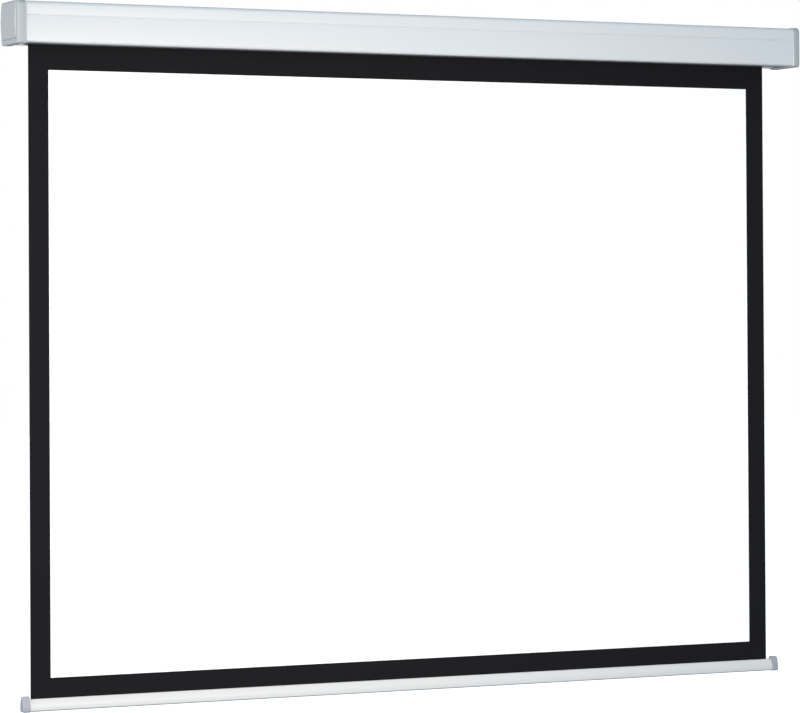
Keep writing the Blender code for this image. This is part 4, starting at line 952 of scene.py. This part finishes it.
def cloth(name, light, dark, rough, threads=900):
    """A fine plain weave under a thin coating, with slightly uneven yarns."""
    made = Finish(name, Specular_IOR_Level=0.12)
    wavy = {"Vector": made.place, "Scale": threads / FULL_WAVE, "Distortion": 0.4}
    warp, weft = (made.node("ShaderNodeTexWave", {"bands_direction": way}, wavy, out="Fac") for way in "XZ")
    yarn, broad = made.noise(140, 3, 0.6), made.noise(1.6, 3)
    weave = warp * 0.5 + weft * 0.5
    made.coloured(yarn * 0.5 + broad * 0.5, light, dark, rough + 0.08 * weave + 0.05 * yarn)
    return made.bumped(weave + yarn * 0.4, 0.00003, 0.35)


image_white = cloth("image_white", shade(253, 253, 252), shade(250, 250, 250), 0.82)
border_black = cloth("border_black", shade(21, 20, 23), shade(18, 18, 21), 0.74)
back_black = cloth("back_black", shade(28, 27, 29), shade(24, 23, 25), 0.76, 700)


def sheet_piece(name, top, bottom):
    """A length of the fabric between two heights, with crisp borders round the image."""
    step = (RIGHT_X - LEFT_X - 2 * BORDER) / SHEET_STEPS
    xs = [LEFT_X] + [LEFT_X + BORDER + step * k for k in range(SHEET_STEPS + 1)] + [RIGHT_X]
    zs = [top] + [z for z in (IMAGE_TOP, IMAGE_BOTTOM) if bottom < z < top] + [bottom]
    bm = bmesh.new()
    skins = [
        [[bm.verts.new((x, y, z)) for x in xs] for z in zs]
        for y in (FABRIC_Y - SHEET_T / 2, FABRIC_Y + SHEET_T / 2)
    ]
    for at_back, skin in enumerate(skins):
        for row, (high, low) in enumerate(zip(zs, zs[1:])):
            level_with_image = high <= IMAGE_TOP + TOUCHING and low >= IMAGE_BOTTOM - TOUCHING
            for k in range(len(xs) - 1):
                upper, lower = skin[row], skin[row + 1]
                face = bm.faces.new((upper[k], upper[k + 1], lower[k + 1], lower[k]))
                in_image = level_with_image and 0 < k < len(xs) - 2
                face.material_index = BEHIND if at_back else IMAGE if in_image else ROUND_IMAGE
    rims = []
    for skin in skins:
        right, left = [row[-1] for row in skin[1:]], [row[0] for row in skin[-2:0:-1]]
        rims.append(skin[0] + right + skin[-1][-2::-1] + left)
    for k in range(len(rims[0])):
        edge = bm.faces.new((rims[0][k - 1], rims[0][k], rims[1][k], rims[1][k - 1]))
        edge.material_index = BEHIND
    piece = piece_of(name, bm, image_white, 30)
    piece.data.materials.append(border_black.material)
    piece.data.materials.append(back_black.material)
    return piece


main_sheet = sheet_piece("screen_sheet", sheet_high.z, IMAGE_BOTTOM)
hem_strip = sheet_piece("screen_hem_strip", IMAGE_BOTTOM, sheet_low.z)
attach(main_sheet, "case")
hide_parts("screen_fabric")
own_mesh(main_sheet)
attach(hem_strip, "screen")

wrap_out, wrap_in = [], []
for k in range(WRAP_STEPS + 1):
    turn = 2 * pi * WRAP_TURNS * k / WRAP_STEPS
    r = WRAP_R - WRAP_PITCH * WRAP_TURNS * k / WRAP_STEPS
    for skin, radius in ((wrap_out, r + SHEET_T / 2), (wrap_in, r - SHEET_T / 2)):
        skin.append((ROLLER_Y + radius * cos(turn), ROLLER_Z + radius * sin(turn)))
wrap = extruded("screen_wrap", wrap_out + wrap_in[::-1], LEFT_X, RIGHT_X, back_black, 30)
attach(wrap, "roller")
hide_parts("fabric_wrap")


# Bottom bar: an aluminium extrusion in the case's white, drop-shaped in section, gripping the
# fabric's hem round its rod. A steel rod in its lower bore is the weight.
bar_low, bar_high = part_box("bottom_bar")
BAR_Z, BAR_HEIGHT, BAR_DEPTH, BAR_TOP_DEPTH, BAR_STRAIGHT = bar_low.z, 0.0290, 0.0240, 0.0080, 0.0115
BAR_RADIUS, BAR_SLOPE_STEPS, BAR_SLOPE_CURVE, BAR_TOP_ROUND = 0.0040, 18, 1.4, 0.001
BAR_TOP_EDGE = ((0.0004, 0.0003), (0.0012, 0))  # inwards and down from the top corner
BAR_SLIT, HEM_DOWN, HEM_GROOVE_R = 0.0020, 0.0055, 0.0030
WEIGHT_UP, WEIGHT_BORE_R, SCREW_UP, SCREW_BORE_R = 0.0086, 0.0065, 0.0178, 0.0017


def bar_side(grow=0.0, rise=0.0):
    """One side of the bar's section from underside to top, as (half depth, height)."""
    points = arc(BAR_DEPTH / 2 + grow - BAR_RADIUS, BAR_RADIUS - grow, BAR_RADIUS, -90, 0, 8)
    slope, narrowing = BAR_HEIGHT - BAR_STRAIGHT, (BAR_DEPTH - BAR_TOP_DEPTH) / 2
    for k in range(BAR_SLOPE_STEPS + 1):
        share = k / BAR_SLOPE_STEPS
        up = (slope - BAR_TOP_ROUND) * share
        half = BAR_DEPTH / 2 - narrowing * (up / slope) ** BAR_SLOPE_CURVE
        points.append((half + grow, BAR_STRAIGHT + up + rise * share))
    half, top = BAR_TOP_DEPTH / 2 + grow, BAR_HEIGHT + rise
    return points + [(half - inwards, top - down) for inwards, down in BAR_TOP_EDGE]


def bar_section(side, across_top=()):
    """A whole section: one side, what lies across its top, and the other side."""
    whole = side + [*across_top] + [(-y, z) for y, z in reversed(side)]
    return [(FABRIC_Y + y, BAR_Z + z) for y, z in whole]


neck = degrees(asin(BAR_SLIT / 2 / HEM_GROOVE_R))
groove = arc(0, BAR_HEIGHT - HEM_DOWN, HEM_GROOVE_R, 90 + neck, 450 - neck, 24)
mouth = [(BAR_SLIT / 2, BAR_HEIGHT)] + groove[::-1] + [(-BAR_SLIT / 2, BAR_HEIGHT)]
# The bar's coat is painted darker where it faces down, as painted shade.
bar_coat = powder_coat("bar_white", shade(202, 202, 201), shade(197, 198, 197), painted_shade_under=0.85, gloss=0.0)
bar = extruded("bar_extrusion", bar_section(bar_side(), mouth), bar_low.x, bar_high.x, bar_coat, 24)
bores = [
    rod("bore", bar_low.x - OVERRUN, bar_high.x + OVERRUN, r, (FABRIC_Y, BAR_Z + up), bar_coat, steps)
    for r, up, steps in ((WEIGHT_BORE_R, WEIGHT_UP, 32), (SCREW_BORE_R, SCREW_UP, 16))
]
cut_by(bar, *bores, angle=24)
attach(bar, "screen")
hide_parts("bottom_bar")
resurfaced("hem_rod", "hem_bead", bush_nylon, "screen")
resurfaced("weight_rod", "bar_weight", can_steel, "screen")


# Bar caps: rounded grey mouldings that stand above the bar at its ends, each held by a screw
# sunk in its outer face.
BAR_CAP, BAR_CAP_PROUD, BAR_CAP_RISE, BAR_CAP_R = 0.018, 0.0010, 0.0065, 0.0030
WELL_OVERRUN, SCREW_HEAD_R, SCREW_HEAD = 0.001, 0.0028, 0.0018
bar_cap_plastic = moulding("bar_cap_grey", shade(154, 155, 165), shade(147, 148, 158))
bar_seats = []
for word, side in ENDS:
    metal = bar_low.x if side < 0 else bar_high.x
    shape = bar_section(bar_side(BAR_CAP_PROUD, BAR_CAP_RISE))
    start, end = metal + side * FIT, metal + side * BAR_CAP
    rings = [at(start, inset(shape, FIT, FIT)), at(start + side * FIT, shape)]
    for turn in quarter(12):
        deep = BAR_CAP_R * (1 - cos(turn))
        rings.append(at(end - side * BAR_CAP_R * (1 - sin(turn)), inset(shape, deep, deep)))
    cap = lofted("bar_end_" + word, rings, bar_cap_plastic, 30)
    centre = (FABRIC_Y, BAR_Z + SCREW_UP)
    way_in, way_out = metal - side * WELL_OVERRUN, end + side * WELL_OVERRUN
    head_seat, head_way = end - side * (SCREW_HEAD + FIT), SCREW_HEAD_R + FIT
    well = [(way_in, 0), (way_in, SCREW_BORE_R), (head_seat, SCREW_BORE_R)]
    well += [(head_seat, head_way), (way_out, head_way), (way_out, 0)]
    cut_by(cap, turned("well", well, centre, bar_cap_plastic, 24), angle=30)
    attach(cap, "screen")
    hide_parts("bar_cap_" + word)
    bar_seats.append(((end - side * SCREW_HEAD, *centre), (side, 0, 0)))
driven_screws("bar_end_screws", (SCREW_HEAD_R, SCREW_HEAD, 0.0014, 0.024), bar_seats, 11, "screen",
              ["bar_cap_screw_left", "bar_cap_screw_right"])
